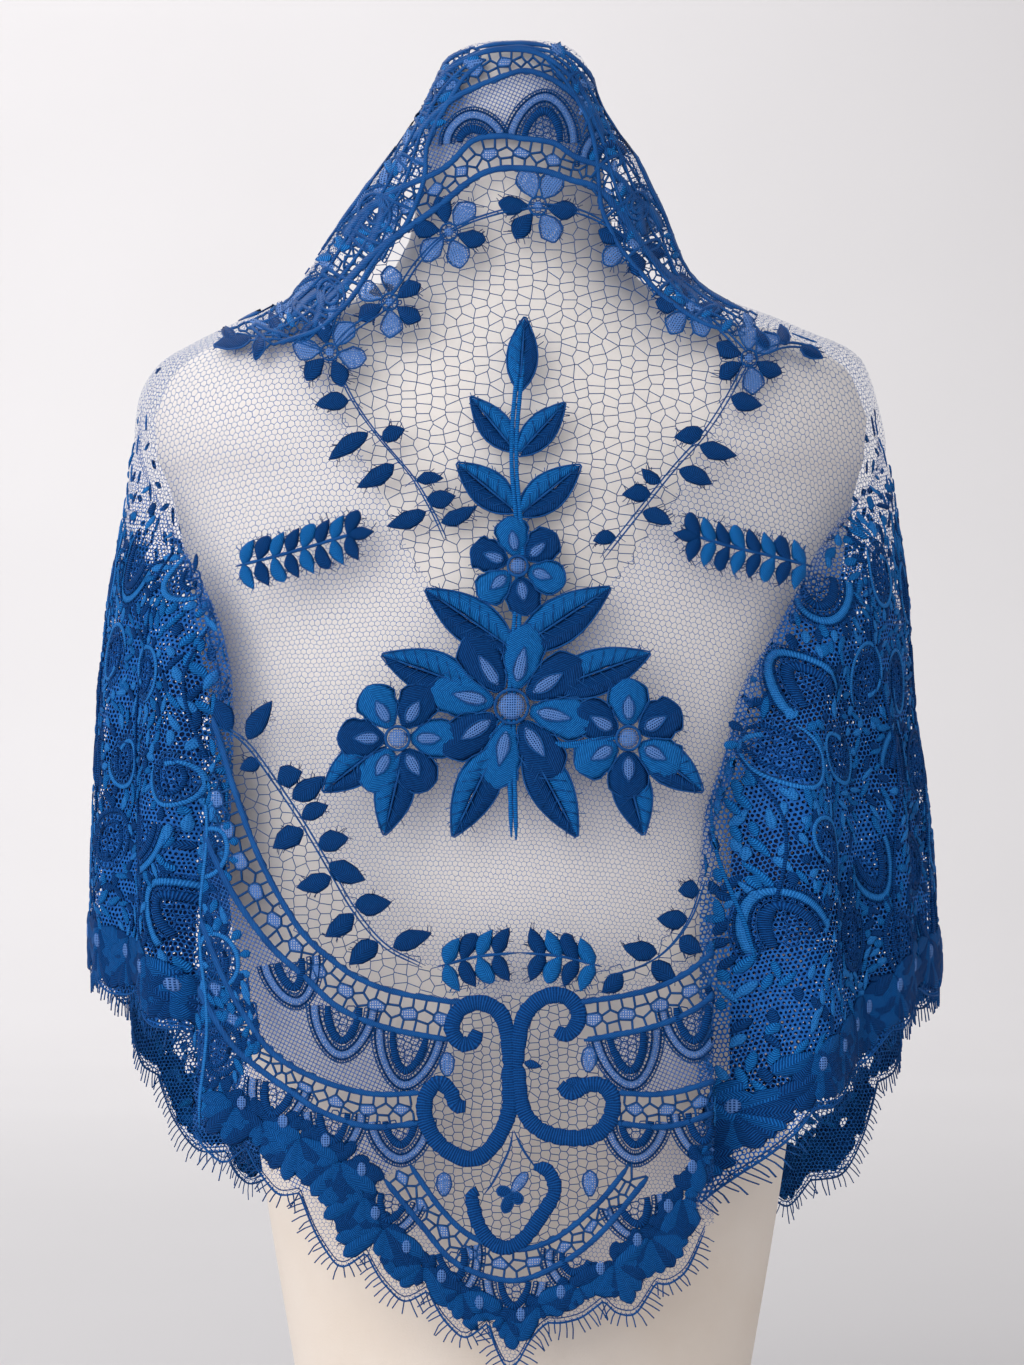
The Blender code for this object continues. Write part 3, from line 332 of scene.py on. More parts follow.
# The height of the cloth at these levels; every other level is its own height.
HEIGHTS = {0.8: 0.7596, 0.782: 0.7594, 0.77: 0.7575, 0.757: 0.752, 0.73: 0.7305}
ring_levels = [row[0] for row in RINGS]
ring_heights = [HEIGHTS.get(level, level) for level in ring_levels]
ring_height, level_of_height = through(ring_levels, ring_heights), through(ring_heights, ring_levels)
ring_left, ring_right, ring_back, ring_front = columns(RINGS)
fold_left, fold_right = columns(FOLD_EDGES)


def inward(angle, level):
    """How far the folds take the cloth in towards the figure."""
    depth = np.zeros_like(angle)
    for side, turn, edge in (("left", -1.0, fold_left), ("right", 1.0, fold_right)):
        drop, rise, depths = DEEP_FOLDS[side]
        past = turn * (angle - edge(level))
        most = through(list(DEEP_LEVELS), list(depths))(level)
        depth += np.where(level < DEEP_LEVELS[0], most * (ease(past / drop) - ease((past - drop) / rise)),
                          0.0)
    for middle, half_width, most, start, full in SOFT_FOLDS:
        depth += most * ease((start - level) / (start - full)) * np.exp(-((angle - middle) / half_width) ** 2)
    for angle0, level0, angle1, level1, half_width, most in CREASES:
        share = (level0 - level) / (level0 - level1)
        away = (angle - angle0 - (angle1 - angle0) * share) / half_width
        depth += most * np.sin(np.pi * np.clip(share, 0.0, 1.0)) ** 0.7 * np.exp(-away * away)
    return depth


def cloth_point(angle, level):
    """The outer face of the cloth: the angle runs round the figure, 0 at the middle of the back."""
    angle, level = np.broadcast_arrays(np.asarray(angle, float), np.asarray(level, float))
    s, c = np.sin(np.radians(angle)), np.cos(np.radians(angle))
    x = np.where(s > 0, ring_right(level), ring_left(level)) * s
    y = -np.where(c > 0, ring_back(level), ring_front(level)) * c * (1 + SQUARE * s * s)
    reach = np.maximum(np.hypot(x, y), 1e-6)
    take = np.where(reach > 0.02, inward(angle, level) / reach, 0.0)
    return np.stack([x * (1 - take), y * (1 - take), ring_height(level)], axis=-1)


def cloth_normal(angle, level):
    angle, level = np.broadcast_arrays(np.asarray(angle, float), np.asarray(level, float))
    upper = np.minimum(level + 0.0008, CROWN_LEVEL - 1e-5)
    normal = np.cross(cloth_point(angle + 0.25, level) - cloth_point(angle - 0.25, level),
                      cloth_point(angle, upper) - cloth_point(angle, upper - 0.0016))
    normal[level > CROWN_LEVEL - 0.002] = (0, 0, 1)
    return normal / np.linalg.norm(normal, axis=-1, keepdims=True)


def on_cloth(angle, level, lift=0.0):
    return cloth_point(angle, level) + cloth_normal(angle, level) * np.asarray(lift, float)[..., None]


# The pattern is laid out on a sheet of 1024 x 1365 units with y down, as it is seen from straight
# behind, one unit being 0.53 mm at the middle of the figure.
UNIT = 0.00053
SHEET_X, SHEET_Y = 520, 1478.2  # where x = 0 and z = 0 are on the sheet


def seen(places):
    """Angle and level on the cloth of places on the sheet."""
    places = np.asarray(places, float).reshape(-1, 2)
    x0, z0 = (places[:, 0] - SHEET_X) * UNIT, (SHEET_Y - places[:, 1]) * UNIT
    y = np.full(len(places), -0.11)
    for _ in range(12):
        nearer = (y - EYE[1]) / -EYE[1]
        x = EYE[0] + (x0 - EYE[0]) * nearer
        level = level_of_height(EYE[2] + (z0 - EYE[2]) * nearer)
        half = np.where(x > 0, ring_right(level), ring_left(level))
        angle = np.degrees(np.arcsin(np.clip(x / half, -0.999, 0.999)))
        y = cloth_point(angle, level)[:, 1]
    for _ in range(10):  # the folds have moved the cloth sideways, so the angle gives way a little
        spot = cloth_point(angle, level)
        nearer = (spot[:, 1] - EYE[1]) / -EYE[1]
        level = level_of_height(EYE[2] + (z0 - EYE[2]) * nearer)
        half = np.where(x0 > 0, ring_right(level), ring_left(level))
        off = EYE[0] + (x0 - EYE[0]) * nearer - spot[:, 0]
        turn = np.degrees(off / np.maximum(half * np.cos(np.radians(angle)), 0.25 * half))
        angle = np.clip(angle + 0.6 * np.clip(turn, -2.0, 2.0), -89.0, 89.0)
    return angle, level


BACK_SCALLOPS = [(192, 1126, 24), (246, 1146, 20), (300, 1192, 38), (366, 1252, 26), (428, 1290, 28),
                 (488, 1322, 20), (518, 1362, -6), (548, 1322, 8), (604, 1300, 24), (656, 1282, 22),
                 (707, 1225, 0)]


def lobes(notches, down, count=14):
    """The scalloped hem: a rounded lobe between each two notches, with small waves on its rim."""
    rim = []
    for (x0, y0, depth), (x1, y1, _) in zip(notches, notches[1:]):
        for k in range(count):
            t = k / count
            bow = math.sin(math.pi * t)
            hang = depth * bow + 0.05 * abs(depth) * math.sin(4 * math.pi * t) * bow
            rim.append((x0 + (x1 - x0) * t, y0 + (y1 - y0) * t + down * hang))
    return rim + [notches[-1][:2]]


def seam_angle(side, level):
    if side == "left":
        return fold_left(level) - DEEP_FOLDS["left"][0]
    return fold_right(level) + DEEP_FOLDS["right"][0]


rim_angle, rim_level = seen(lobes(BACK_SCALLOPS, 1.0))
inside_seams = rim_angle > seam_angle("left", rim_level) + 0.4
inside_seams &= rim_angle < seam_angle("right", rim_level) - 0.4
rim_angle, rim_level = rim_angle[inside_seams], rim_level[inside_seams]
left_foot, right_foot = rim_level[0] + 0.004, rim_level[-1] + 0.005
back_rim = np.array([(seam_angle("left", left_foot), left_foot), *zip(rim_angle, rim_level),
                     (seam_angle("right", right_foot), right_foot)])


def hem_of_back(angle):
    return np.interp(angle, *back_rim.T)


def hung(first_edge, last_edge, hem, foot, top, rows, count):
    """Levels and angles of a stretch of cloth, from its top down to its hem and between its two edges."""
    share = np.linspace(0.0, 1.0, count)
    foot = np.zeros(count) + foot
    for _ in range(30):
        first, last = first_edge(foot), last_edge(foot)
        foot = 0.5 * foot + 0.5 * hem(first + (last - first) * share)
    levels = top - np.linspace(0.0, 1.0, rows)[:, None] * (top - foot[None, :])
    first, last = first_edge(levels), last_edge(levels)
    return levels, first + (last - first) * share[None, :]


def sheet_of(name, grids, lift=0.0):
    """Cloth from grids of rows, each a pair of levels and angles."""
    corners, faces = [], []
    for levels, angles in grids:
        rows, count, first = *levels.shape, len(corners)
        corners += on_cloth(angles, levels, np.full(levels.shape, lift)).reshape(-1, 3).tolist()
        at = [first + r * count + k for r in range(rows - 1) for k in range(count - 1)]
        faces += [(a, a + count, a + count + 1, a + 1) for a in at]
    made = bpy.data.meshes.new(name)
    made.from_pydata(corners, [], faces)
    cloth = bpy.data.objects.new(name, made)
    bpy.context.collection.objects.link(cloth)
    return cloth


def spots_of(cloth):
    return np.array([corner.co[:] for corner in cloth.data.vertices])


def lay_flat(cloth):
    """Unrolls the cloth as nearly as its folds allow, and scales that lay to millimetres."""
    bpy.ops.object.select_all(action="DESELECT")
    cloth.select_set(True)
    bpy.context.view_layer.objects.active = cloth
    bpy.ops.object.mode_set(mode="EDIT")
    bpy.ops.mesh.select_all(action="SELECT")
    bpy.ops.mesh.remove_doubles(threshold=0.00002)
    bpy.ops.mesh.normals_make_consistent(inside=False)
    bpy.ops.uv.unwrap(method="CONFORMAL", margin=0.0)
    bpy.ops.object.mode_set(mode="OBJECT")
    bpy.ops.object.shade_smooth()
    flat = np.zeros(len(cloth.data.loops) * 2)
    cloth.data.uv_layers.active.data.foreach_get("uv", flat)
    flat = flat.reshape(-1, 2)
    spots = spots_of(cloth)
    owner = np.zeros(len(cloth.data.loops), int)
    cloth.data.loops.foreach_get("vertex_index", owner)
    lay = np.zeros((len(spots), 2))
    lay[owner] = flat
    edges = np.array([e.vertices[:] for e in cloth.data.edges])
    real = np.linalg.norm(spots[edges[:, 0]] - spots[edges[:, 1]], axis=1)
    drawn = np.linalg.norm(lay[edges[:, 0]] - lay[edges[:, 1]], axis=1)
    low = spots[edges[:, 0]][:, 2] < 0.56
    scale = np.median(real[low] / np.maximum(drawn[low], 1e-9)) * 1000
    rise = spots[edges[:, 1]] - spots[edges[:, 0]]
    upright = low & (np.abs(rise[:, 2]) > 0.9 * real)
    way = (lay[edges[:, 1]] - lay[edges[:, 0]])[upright] * np.sign(rise[upright, 2])[:, None]
    turn = math.atan2(way[:, 0].mean(), way[:, 1].mean())
    c, s = math.cos(turn), math.sin(turn)
    flat = flat @ np.array([[c, s], [-s, c]]) * scale
    cloth.data.uv_layers.active.data.foreach_set("uv", flat.ravel())


TOP_ROWS = np.array([0.7999, 0.794, 0.788, 0.782, 0.776, 0.77, 0.764, 0.758, 0.752, 0.747, CROWN_EDGE])
first_foot = np.interp(np.linspace(0.0, 1.0, 150), (0, 1), (left_foot, right_foot))
levels, angles = hung(lambda level: seam_angle("left", level), lambda level: seam_angle("right", level),
                      hem_of_back, first_foot, CROWN_EDGE, 190, 150)
round_the_crown = np.concatenate([angles[0], np.linspace(93.0, 267.0, 59), angles[0][:1] + 360])
crown = tuple(np.meshgrid(TOP_ROWS, round_the_crown, indexing="ij"))
back_net = sheet_of("back_net", [(levels, angles), crown])
lay_flat(back_net)


# Where other work takes the net's place, on the sheet: the open ground of the upper back, the strips
# along the leaves, the lace bands and the middle medallion; and where it is a close square mesh.
def mirrored(places):
    return [(1036 - x, y) for x, y in places]


NECK_CORD_UPPER = [(344, 252), (380, 201), (443, 169), (473, 141), (501, 136), (519, 138), (553, 143),
                   (577, 158), (612, 172), (640, 205)]
NECK_CORD_LOWER = [(322, 306), (344, 285), (380, 249), (434, 210), (484, 173), (532, 169), (571, 180),
                   (605, 195), (655, 262), (700, 300)]
TOP_CORD_UPPER = [(402, 132), (423, 100), (450, 70), (480, 54), (510, 50), (538, 54), (564, 71), (588, 102),
                  (604, 134)]
TOP_CORD_LOWER = [(412, 142), (432, 118), (460, 95), (501, 77), (527, 71), (553, 80), (575, 97), (590, 116),
                  (604, 140)]
BAND_A_UPPER = [(213, 716), (224, 752), (235, 790), (252, 838), (271, 880), (302, 931), (333, 960),
                (361, 979), (401, 993), (470, 1004)]
BAND_A_LOWER = [(196, 800), (212, 850), (237, 899), (271, 945), (305, 976), (339, 1007), (386, 1027),
                (452, 1040)]
BAND_B_UPPER = [(200, 915), (222, 973), (246, 1016), (274, 1053), (317, 1078), (370, 1093), (424, 1092)]
BAND_B_LOWER = [(198, 985), (214, 1016), (240, 1052), (293, 1092), (324, 1112), (370, 1126), (424, 1122)]
BAND_C_UPPER = [(410, 1164), (441, 1208), (472, 1236), (513, 1249), (555, 1238), (597, 1204), (628, 1166)]
BAND_C_LOWER = [(384, 1178), (423, 1226), (457, 1263), (513, 1280), (562, 1262), (601, 1232), (648, 1176)]
OPEN_GROUND = NECK_CORD_LOWER + [(745, 345), (749, 358), (716, 420), (672, 500), (628, 560), (588, 610),
                                 (548, 640), (488, 640), (446, 604), (408, 548), (370, 470), (338, 400),
                                 (322, 352)]
LEAF_STRIP = BAND_A_UPPER + [(470, 985), (436, 968), (404, 955), (380, 940), (352, 905), (330, 868),
                             (306, 824), (278, 782), (248, 744), (226, 716)]
LEAF_STRIP_RIGHT = [(700, 960), (675, 960), (640, 978), (600, 990), (566, 1004), (566, 985), (606, 972),
                    (640, 962), (664, 944), (686, 914), (702, 880), (712, 850), (712, 900)]
BAND_A = BAND_A_UPPER + BAND_A_LOWER[::-1]
BAND_B = BAND_B_UPPER + BAND_B_LOWER[::-1]
BAND_C = BAND_C_UPPER + BAND_C_LOWER[::-1]
NECK_BAND = NECK_CORD_UPPER + NECK_CORD_LOWER[::-1]
TOP_BAND = TOP_CORD_UPPER + TOP_CORD_LOWER[::-1]
MEDALLION = [(470, 1004), (452, 1040), (424, 1092), (424, 1122), (410, 1164)] + BAND_C_UPPER[1:-1] + [
    (628, 1166), (612, 1122), (612, 1092), (584, 1040), (566, 1004), (518, 994)]
OPEN_PLACES = [OPEN_GROUND, LEAF_STRIP, BAND_A, mirrored(BAND_A), BAND_B, mirrored(BAND_B), BAND_C,
               NECK_BAND, TOP_BAND, MEDALLION, LEAF_STRIP_RIGHT]
SQUARE_MESH = [TOP_CORD_LOWER + [(640, 205)] + NECK_CORD_UPPER[::-1][1:] + [(372, 200)],
               BAND_A_LOWER + [(424, 1092)] + BAND_B_UPPER[::-1][1:],
               mirrored(BAND_A_LOWER + [(424, 1092)] + BAND_B_UPPER[::-1][1:]),
               BAND_B_LOWER + BAND_C_LOWER[:1] + [(300, 1192), (246, 1146), (192, 1126)]]


def on_sheet(spots):
    """Where places in space are seen on the sheet."""
    nearer = (spots[:, 1] - EYE[1]) / -EYE[1]
    x, z = [EYE[axis] + (spots[:, axis] - EYE[axis]) / nearer for axis in (0, 2)]
    return np.stack([x / UNIT + SHEET_X, SHEET_Y - z / UNIT], axis=-1)


def depth_in(outline, places):
    """How deep places lie inside an outline, in sheet units; less than 0 outside it."""
    outline = np.array(outline, float)
    nearest, within = np.full(len(places), 1e9), np.zeros(len(places), bool)
    for (x0, y0), (x1, y1) in zip(outline, np.roll(outline, -1, axis=0)):
        side = np.array([x1 - x0, y1 - y0])
        share = np.clip(((places - (x0, y0)) @ side) / max(side @ side, 1e-9), 0, 1)
        nearest = np.minimum(nearest, np.hypot(*(places - (x0, y0) - share[:, None] * side).T))
        crosses = (y0 > places[:, 1]) != (y1 > places[:, 1])
        with np.errstate(divide="ignore", invalid="ignore"):
            within ^= crosses & (places[:, 0] < (x1 - x0) * (places[:, 1] - y0) / (y1 - y0) + x0)
    return np.where(within, nearest, -nearest)


def mark(cloth, name, values):
    made = cloth.data.attributes.new(name, "FLOAT", "POINT")
    made.data.foreach_set("value", np.asarray(values, np.float32))


spots = spots_of(back_net)
facing = np.array([v.normal.y for v in back_net.data.vertices])
if facing[spots[:, 2] < 0.5].mean() > 0:
    back_net.data.flip_normals()
places, shown = on_sheet(spots), spots[:, 1] < 0.0
for name, outlines in (("open_ground", OPEN_PLACES), ("square_mesh", SQUARE_MESH)):
    mark(back_net, name, np.where(shown, np.max([depth_in(p, places) for p in outlines], axis=0), -20.0))


def steps(tree):
    """Short ways to add a number or vector step to a material."""
    def number(kind, *inputs):
        node = tree.nodes.new("ShaderNodeMath")
        node.operation = kind
        for socket, value in zip(node.inputs, inputs):
            if isinstance(value, (int, float)):
                socket.default_value = value
            else:
                tree.links.new(value, socket)
        return node.outputs[0]

    def vector(kind, *inputs):
        node = tree.nodes.new("ShaderNodeVectorMath")
        node.operation = kind
        for socket, value in zip(node.inputs, inputs):
            if isinstance(value, tuple):
                socket.default_value = value
            else:
                tree.links.new(value, socket)
        return node.outputs[0]

    return number, vector


def marked(tree, name):
    """How strongly each spot is marked."""
    where = tree.nodes.new("ShaderNodeAttribute")
    where.attribute_name = name
    return where.outputs["Fac"]


def six_sided(tree, lay, pitch, thread):
    """Thread (1) and holes (0) of a six-sided net; the pitch and the thread's width in millimetres.
    Where the cloth's closeness is more than 0, the threads are thicker."""
    number, vector = steps(tree)
    half, reach = (0.5, 0.8660254, 0.0), None
    scaled = vector("MULTIPLY", lay, (1 / pitch, 1 / pitch, 0.0))
    for moved in (scaled, vector("ADD", scaled, half)):
        spot = parts(tree, vector("ABSOLUTE", vector("WRAP", moved, half, tuple(-h for h in half))))
        slope = number("ADD", number("MULTIPLY", spot[0], 0.5), number("MULTIPLY", spot[1], 0.8660254))
        here = number("MAXIMUM", spot[0], slope)
        reach = here if reach is None else number("MINIMUM", reach, here)
    thicker = number("MULTIPLY", marked(tree, "closeness"), 0.2)
    return number("GREATER_THAN", reach, number("SUBTRACT", 0.5 - thread / pitch / 2, thicker))


def close_mesh(tree, lay, pitch, thread, turn):
    """Thread and holes of a square mesh, turned by so many degrees."""
    number, vector = steps(tree)
    mapping = tree.nodes.new("ShaderNodeMapping")
    mapping.inputs["Scale"].default_value = (1 / pitch, 1 / pitch, 1.0)
    mapping.inputs["Rotation"].default_value = (0, 0, math.radians(turn))
    tree.links.new(lay, mapping.inputs["Vector"])
    in_cell = vector("WRAP", mapping.outputs[0], (0.5, 0.5, 0.5), (-0.5, -0.5, -0.5))
    spot = parts(tree, vector("ABSOLUTE", in_cell))
    return number("GREATER_THAN", number("MAXIMUM", spot[0], spot[1]), 0.5 - thread / pitch / 2)


def lay_of(tree):
    """The lay of the cloth or of its stitches, in millimetres."""
    lay = tree.nodes.new("ShaderNodeUVMap")
    lay.uv_map = "UVMap"
    return lay.outputs[0]


def net_finish(name, pitch, thread, colours, zones=False):
    """Cobalt net: its holes are cut by the pattern, its thread shines a little and varies in colour."""
    net, tree, shader = new_finish(name, 0.6, 0.12)
    number, vector = steps(tree)
    lay = lay_of(tree)
    waver = vector("SUBTRACT", noise(tree, lay, 0.09)["Color"], (0.5, 0.5, 0.5))
    holes = six_sided(tree, vector("ADD", lay, vector("MULTIPLY", waver, (4.0, 4.0, 0.0))), pitch, thread)
    if zones:
        where = parts(tree, place_in(tree))
        upright = tree.nodes.new("ShaderNodeCombineXYZ")
        tree.links.new(where["X"], upright.inputs["X"])
        tree.links.new(where["Z"], upright.inputs["Y"])
        square = close_mesh(tree, upright.outputs[0], 0.0019, 0.0004, 24)
        is_square = number("GREATER_THAN", marked(tree, "square_mesh"), 0.0)
        holes = number("MULTIPLY", holes, number("SUBTRACT", 1.0, is_square))
        holes = number("ADD", holes, number("MULTIPLY", square, is_square))
        holes = number("MULTIPLY", holes, number("LESS_THAN", marked(tree, "open_ground"), 0.0))
    tree.links.new(holes, shader.inputs["Alpha"])
    dye = noise(tree, lay, 0.4, 4.0)["Fac"]
    tree.links.new(tinted(tree, dye, *colours, 0.3, 0.7), shader.inputs["Base Color"])
    return net


net_colours = (0.01, 0.075, 0.29), (0.022, 0.125, 0.42)
back_net.data.materials.append(net_finish("net_ground", 2.55, 0.21, net_colours, zones=True))
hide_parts("back_panel")
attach(back_net, "root")


# ---------------------------------------------------------------- side drapes and front corners
# The same width of lace goes on over the shoulders and falls in folds round the arms to the two
# acute corners in front. A turned-under layer behind the arms makes these stretches close, and its
# near-black blue is painted shade, standing for the shaded layers of lace seen through the holes.
FRONT_EDGE = [(0.742, 128), (0.728, 118), (0.7, 110), (0.67, 108), (0.645, 110), (0.625, 116), (0.605, 124),
              (0.58, 133), (0.54, 141), (0.48, 147), (0.4, 150), (0.3, 151.5), (0.1, 152)]
SIDE_SCALLOPS = {
    "left": [(50.5, left_foot, 0.003), (56, 0.245, 0.005), (66, 0.264, 0.008), (80, 0.274, 0.008),
             (93, 0.276, 0.01), (106, 0.25, 0.01), (118, 0.208, 0.016), (131, 0.164, 0.01),
             (142, 0.148, 0.01), (152, 0.142, 0)],
    "right": [(30.5, right_foot, 0.003), (41, 0.208, 0.006), (52, 0.226, 0.006), (62, 0.244, 0.006),
              (74, 0.264, 0.009), (90, 0.27, 0.009), (104, 0.248, 0.01), (118, 0.204, 0.018),
              (131, 0.148, 0.01), (142, 0.138, 0.01), (152, 0.134, 0)]}
SIDE_TOP = CROWN_EDGE - 0.0006
front_edge, = columns(FRONT_EDGE)
side_rim = {side: np.array(lobes(notches, -1.0, 12)) for side, notches in SIDE_SCALLOPS.items()}
side_finish = net_finish("net_of_the_sides", 2.55, 0.28, ((0.004, 0.07, 0.3), (0.014, 0.145, 0.5)),
                         zones=True)
# painted shade: the turned-under net is a near-black blue, darker than the lace itself, so it reads as shade
# behind the drapes
under_shade_finish = net_finish("net_turned_under_painted_shade", 3.6, 0.9, ((0.001, 0.014, 0.075), (0.003, 0.03, 0.135)))
side_net, under_net = {}, {}
for side, turn in (("left", -1.0), ("right", 1.0)):
    levels, angles = hung(lambda level: np.abs(seam_angle(side, level)), front_edge,
                          lambda angle: np.interp(angle, *side_rim[side].T), 0.26, SIDE_TOP, 150, 118)
    cloth = sheet_of(side + "_drape_net", [(levels, turn * angles)])
    lay_flat(cloth)
    spots = spots_of(cloth)
    if np.mean([v.normal.x for v in cloth.data.vertices]) * turn < 0:
        cloth.data.flip_normals()
    reach = np.degrees(np.arctan2(np.abs(spots[:, 0]), -spots[:, 1]))
    gathered = (0.55 + 0.25 * np.sin(55 * spots[:, 2] + 0.12 * reach)) * ease((128 - reach) / 14)
    close = ease((0.55 - spots[:, 2]) / 0.12) * gathered
    mark(cloth, "closeness", np.maximum(close, 0.35 * ease((spots[:, 2] - 0.612) / 0.02)))
    for name in ("open_ground", "square_mesh"):
        mark(cloth, name, [-20.0] * len(spots))
    cloth.data.materials.append(side_finish)
    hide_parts(side + "_side_drape", side + "_front_panel")
    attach(cloth, "root")
    side_net[side] = cloth

    levels, angles = hung(lambda level: np.abs(seam_angle(side, level)) + 3.0, lambda level: 114.0,
                          lambda angle: np.interp(angle, *side_rim[side].T) + 0.022, 0.28, 0.515, 60, 60)
    under = sheet_of(side + "_turned_under", [(levels, turn * angles)], -0.0055)
    lay_flat(under)
    spots = spots_of(under)
    reach = np.degrees(np.arctan2(np.abs(spots[:, 0]), -spots[:, 1]))
    thinner = ease((spots[:, 2] - 0.425 - 0.012 * np.sin(90 * spots[:, 1])) / 0.07) + ease((reach - 94) / 18)
    # painted shade: the turned-under layer is made nearly solid low in the middle of the drape, and thins out
    # upwards and towards the front
    mark(under, "closeness", 1.1 - 2.1 * thinner)
    under.data.materials.append(under_shade_finish)
    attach(under, "root")
    under_net[side] = under

# ---------------------------------------------------------------- open ground: the large net
# In the upper back, along the leaves and in the middle medallion the ground is a much larger net of
# single twisted threads, its cells longer across than they are high and none quite like the next.
PER_DEGREE = 7  # the sheets of the sides have so many units a degree across, and go down from SIDE_TOP


def laid(side, flat, past):
    """Work drawn flat, in sheet units with its height as z, laid on the cloth; and which of it lies
    on that stretch, or so far past its hem."""
    flat = np.asarray(flat, float).reshape(-1, 3)
    if side == "back":
        angle, level = seen(flat[:, :2])
        there = (angle > seam_angle("left", level) + 0.2) & (angle < seam_angle("right", level) - 0.2)
        there &= level > hem_of_back(angle) - past
        there &= np.hypot(*(on_sheet(cloth_point(angle, level)) - flat[:, :2]).T) < 4.0
    else:
        around, level = flat[:, 0] / PER_DEGREE, SIDE_TOP - flat[:, 1] * UNIT
        angle = around * (-1 if side == "left" else 1)
        there = (around > np.abs(seam_angle(side, level)) + 0.2) & (around < front_edge(level) + 0.4)
        there &= level > np.interp(around, side_rim[side][:, 0], side_rim[side][:, 1]) - past
    return on_cloth(angle, level, flat[:, 2] * UNIT), there


class Work:
    """Lace work drawn flat: its corners, faces, the lay of its stitches in mm, and each face's finish."""

    def __init__(self, side, past=0.002):
        self.side, self.past = side, past
        self.corners, self.lay, self.faces, self.finish = [], [], [], []

    def add(self, corners, lay, faces, finish=0):
        first = len(self.corners)
        self.corners += [tuple(c) for c in corners]
        self.lay += [tuple(place) for place in lay]
        self.faces += [tuple(first + c for c in face) for face in faces]
        self.finish += [finish] * len(faces)

    def sewn(self, name, finishes, slot="lace"):
        """The finished piece, laid on the cloth and cut off where its stretch ends."""
        spots, there = laid(self.side, self.corners, self.past)
        kept = [k for k, face in enumerate(self.faces) if all(there[c] for c in face)]
        self.finish = [self.finish[k] for k in kept]
        self.faces = [self.faces[k] for k in kept]
        if self.side == "left":  # the sheet goes round the left side mirrored, so its faces turn over
            self.faces = [face[::-1] for face in self.faces]
        used = sorted({c for face in self.faces for c in face})
        new = {c: k for k, c in enumerate(used)}
        self.faces = [tuple(new[c] for c in face) for face in self.faces]
        self.lay = [self.lay[c] for c in used]
        made = bpy.data.meshes.new(name)
        made.from_pydata(spots[used].tolist(), [], self.faces)
        lay = made.uv_layers.new(name="UVMap")
        order = np.zeros(len(made.loops), int)
        made.loops.foreach_get("vertex_index", order)
        lay.data.foreach_set("uv", np.array(self.lay, np.float32)[order].ravel())
        for finish in finishes:
            made.materials.append(finish)
        made.polygons.foreach_set("material_index", np.array(self.finish, np.int32))
        whole = bmesh.new()
        whole.from_mesh(made)
        bmesh.ops.holes_fill(whole, edges=[edge for edge in whole.edges if edge.is_boundary], sides=0)
        crumbs = [face for face in whole.faces if sum(edge.is_boundary for edge in face.edges) > 1]
        bmesh.ops.delete(whole, geom=crumbs, context="FACES")
        whole.to_mesh(made)
        whole.free()
        made.shade_smooth()
        piece = bpy.data.objects.new(name, made)
        bpy.context.collection.objects.link(piece)
        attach(piece, "root")
        return piece


def threads(work, pairs, width, height=0.5, finish=0):
    """Single threads between pairs of places: three-sided, closed at both ends."""
    for (x0, y0), (x1, y1) in pairs:
        length = math.hypot(x1 - x0, y1 - y0)
        if length < 0.3:
            continue
        sx, sy = -(y1 - y0) / length * width / 2, (x1 - x0) / length * width / 2
        corners = [(x + sx * u, y + sy * u, height + width * v) for x, y in ((x0, y0), (x1, y1))
                   for u, v in ((-1, -0.3), (1, -0.3), (0, 0.6))]
        lay = [(UNIT * 1000 * (length if k > 2 else 0), 0.4 * (k % 3)) for k in range(6)]
        work.add(corners, lay, [(0, 3, 4, 1), (1, 4, 5, 2), (2, 5, 3, 0), (0, 1, 2), (3, 5, 4)], finish)


def net_sites(outline, across, down, waver, seed, edge=1.0):
    """Middles of the cells that fill an outline, with a ring of more outside it."""
    chance = np.random.default_rng(seed)
    (x0, y0), (x1, y1) = np.min(outline, axis=0) - 3 * across, np.max(outline, axis=0) + 3 * across
    sites = np.array([(x0 + across * i, y0 + down * (j + 0.5 * (i % 2)))
                      for i in range(int((x1 - x0) / across))
                      for j in range(int((y1 - y0) / down))])
    sites = sites + chance.uniform(-1, 1, sites.shape) * (waver * across, waver * down)
    return sites, depth_in(outline, sites) > edge


def cells_round(sites, real, outline=None):
    """The threads between neighbouring cells, and the corners of each real cell; an outline keeps
    them in."""
    _, _, triangles, _, _, _ = delaunay_2d_cdt([Vector(site) for site in sites], [], [], 0, 1e-6)
    ends, meets, cells = {}, [], {}
    for t, (a, b, c) in enumerate(triangles):
        (ax, ay), (bx, by), (cx, cy) = sites[a], sites[b], sites[c]
        twice = 2 * (ax * (by - cy) + bx * (cy - ay) + cx * (ay - by))
        if abs(twice) < 1e-6:
            meets.append(None)
            continue
        a2, b2, c2 = ax * ax + ay * ay, bx * bx + by * by, cx * cx + cy * cy
        meets.append(((a2 * (by - cy) + b2 * (cy - ay) + c2 * (ay - by)) / twice,
                      (a2 * (cx - bx) + b2 * (ax - cx) + c2 * (bx - ax)) / twice))
        for pair in ((a, b), (b, c), (c, a)):
            ends.setdefault(tuple(sorted(pair)), []).append(t)
        for corner in (a, b, c):
            if real[corner]:
                cells.setdefault(corner, []).append(meets[t])
    pairs = [(meets[t[0]], meets[t[1]]) for (a, b), t in ends.items() if len(t) == 2 and (real[a] or real[b])]
    pairs = [(p, q) for p, q in pairs if math.dist(p, q) < 22]
    if outline is not None:
        near = depth_in(outline, np.array(pairs).mean(axis=1)) > -2.5
        pairs = [pair for pair, kept in zip(pairs, near) if kept]
    for site, corners in cells.items():
        x, y = sites[site]
        corners.sort(key=lambda p: math.atan2(p[1] - y, p[0] - x))
    return pairs, cells


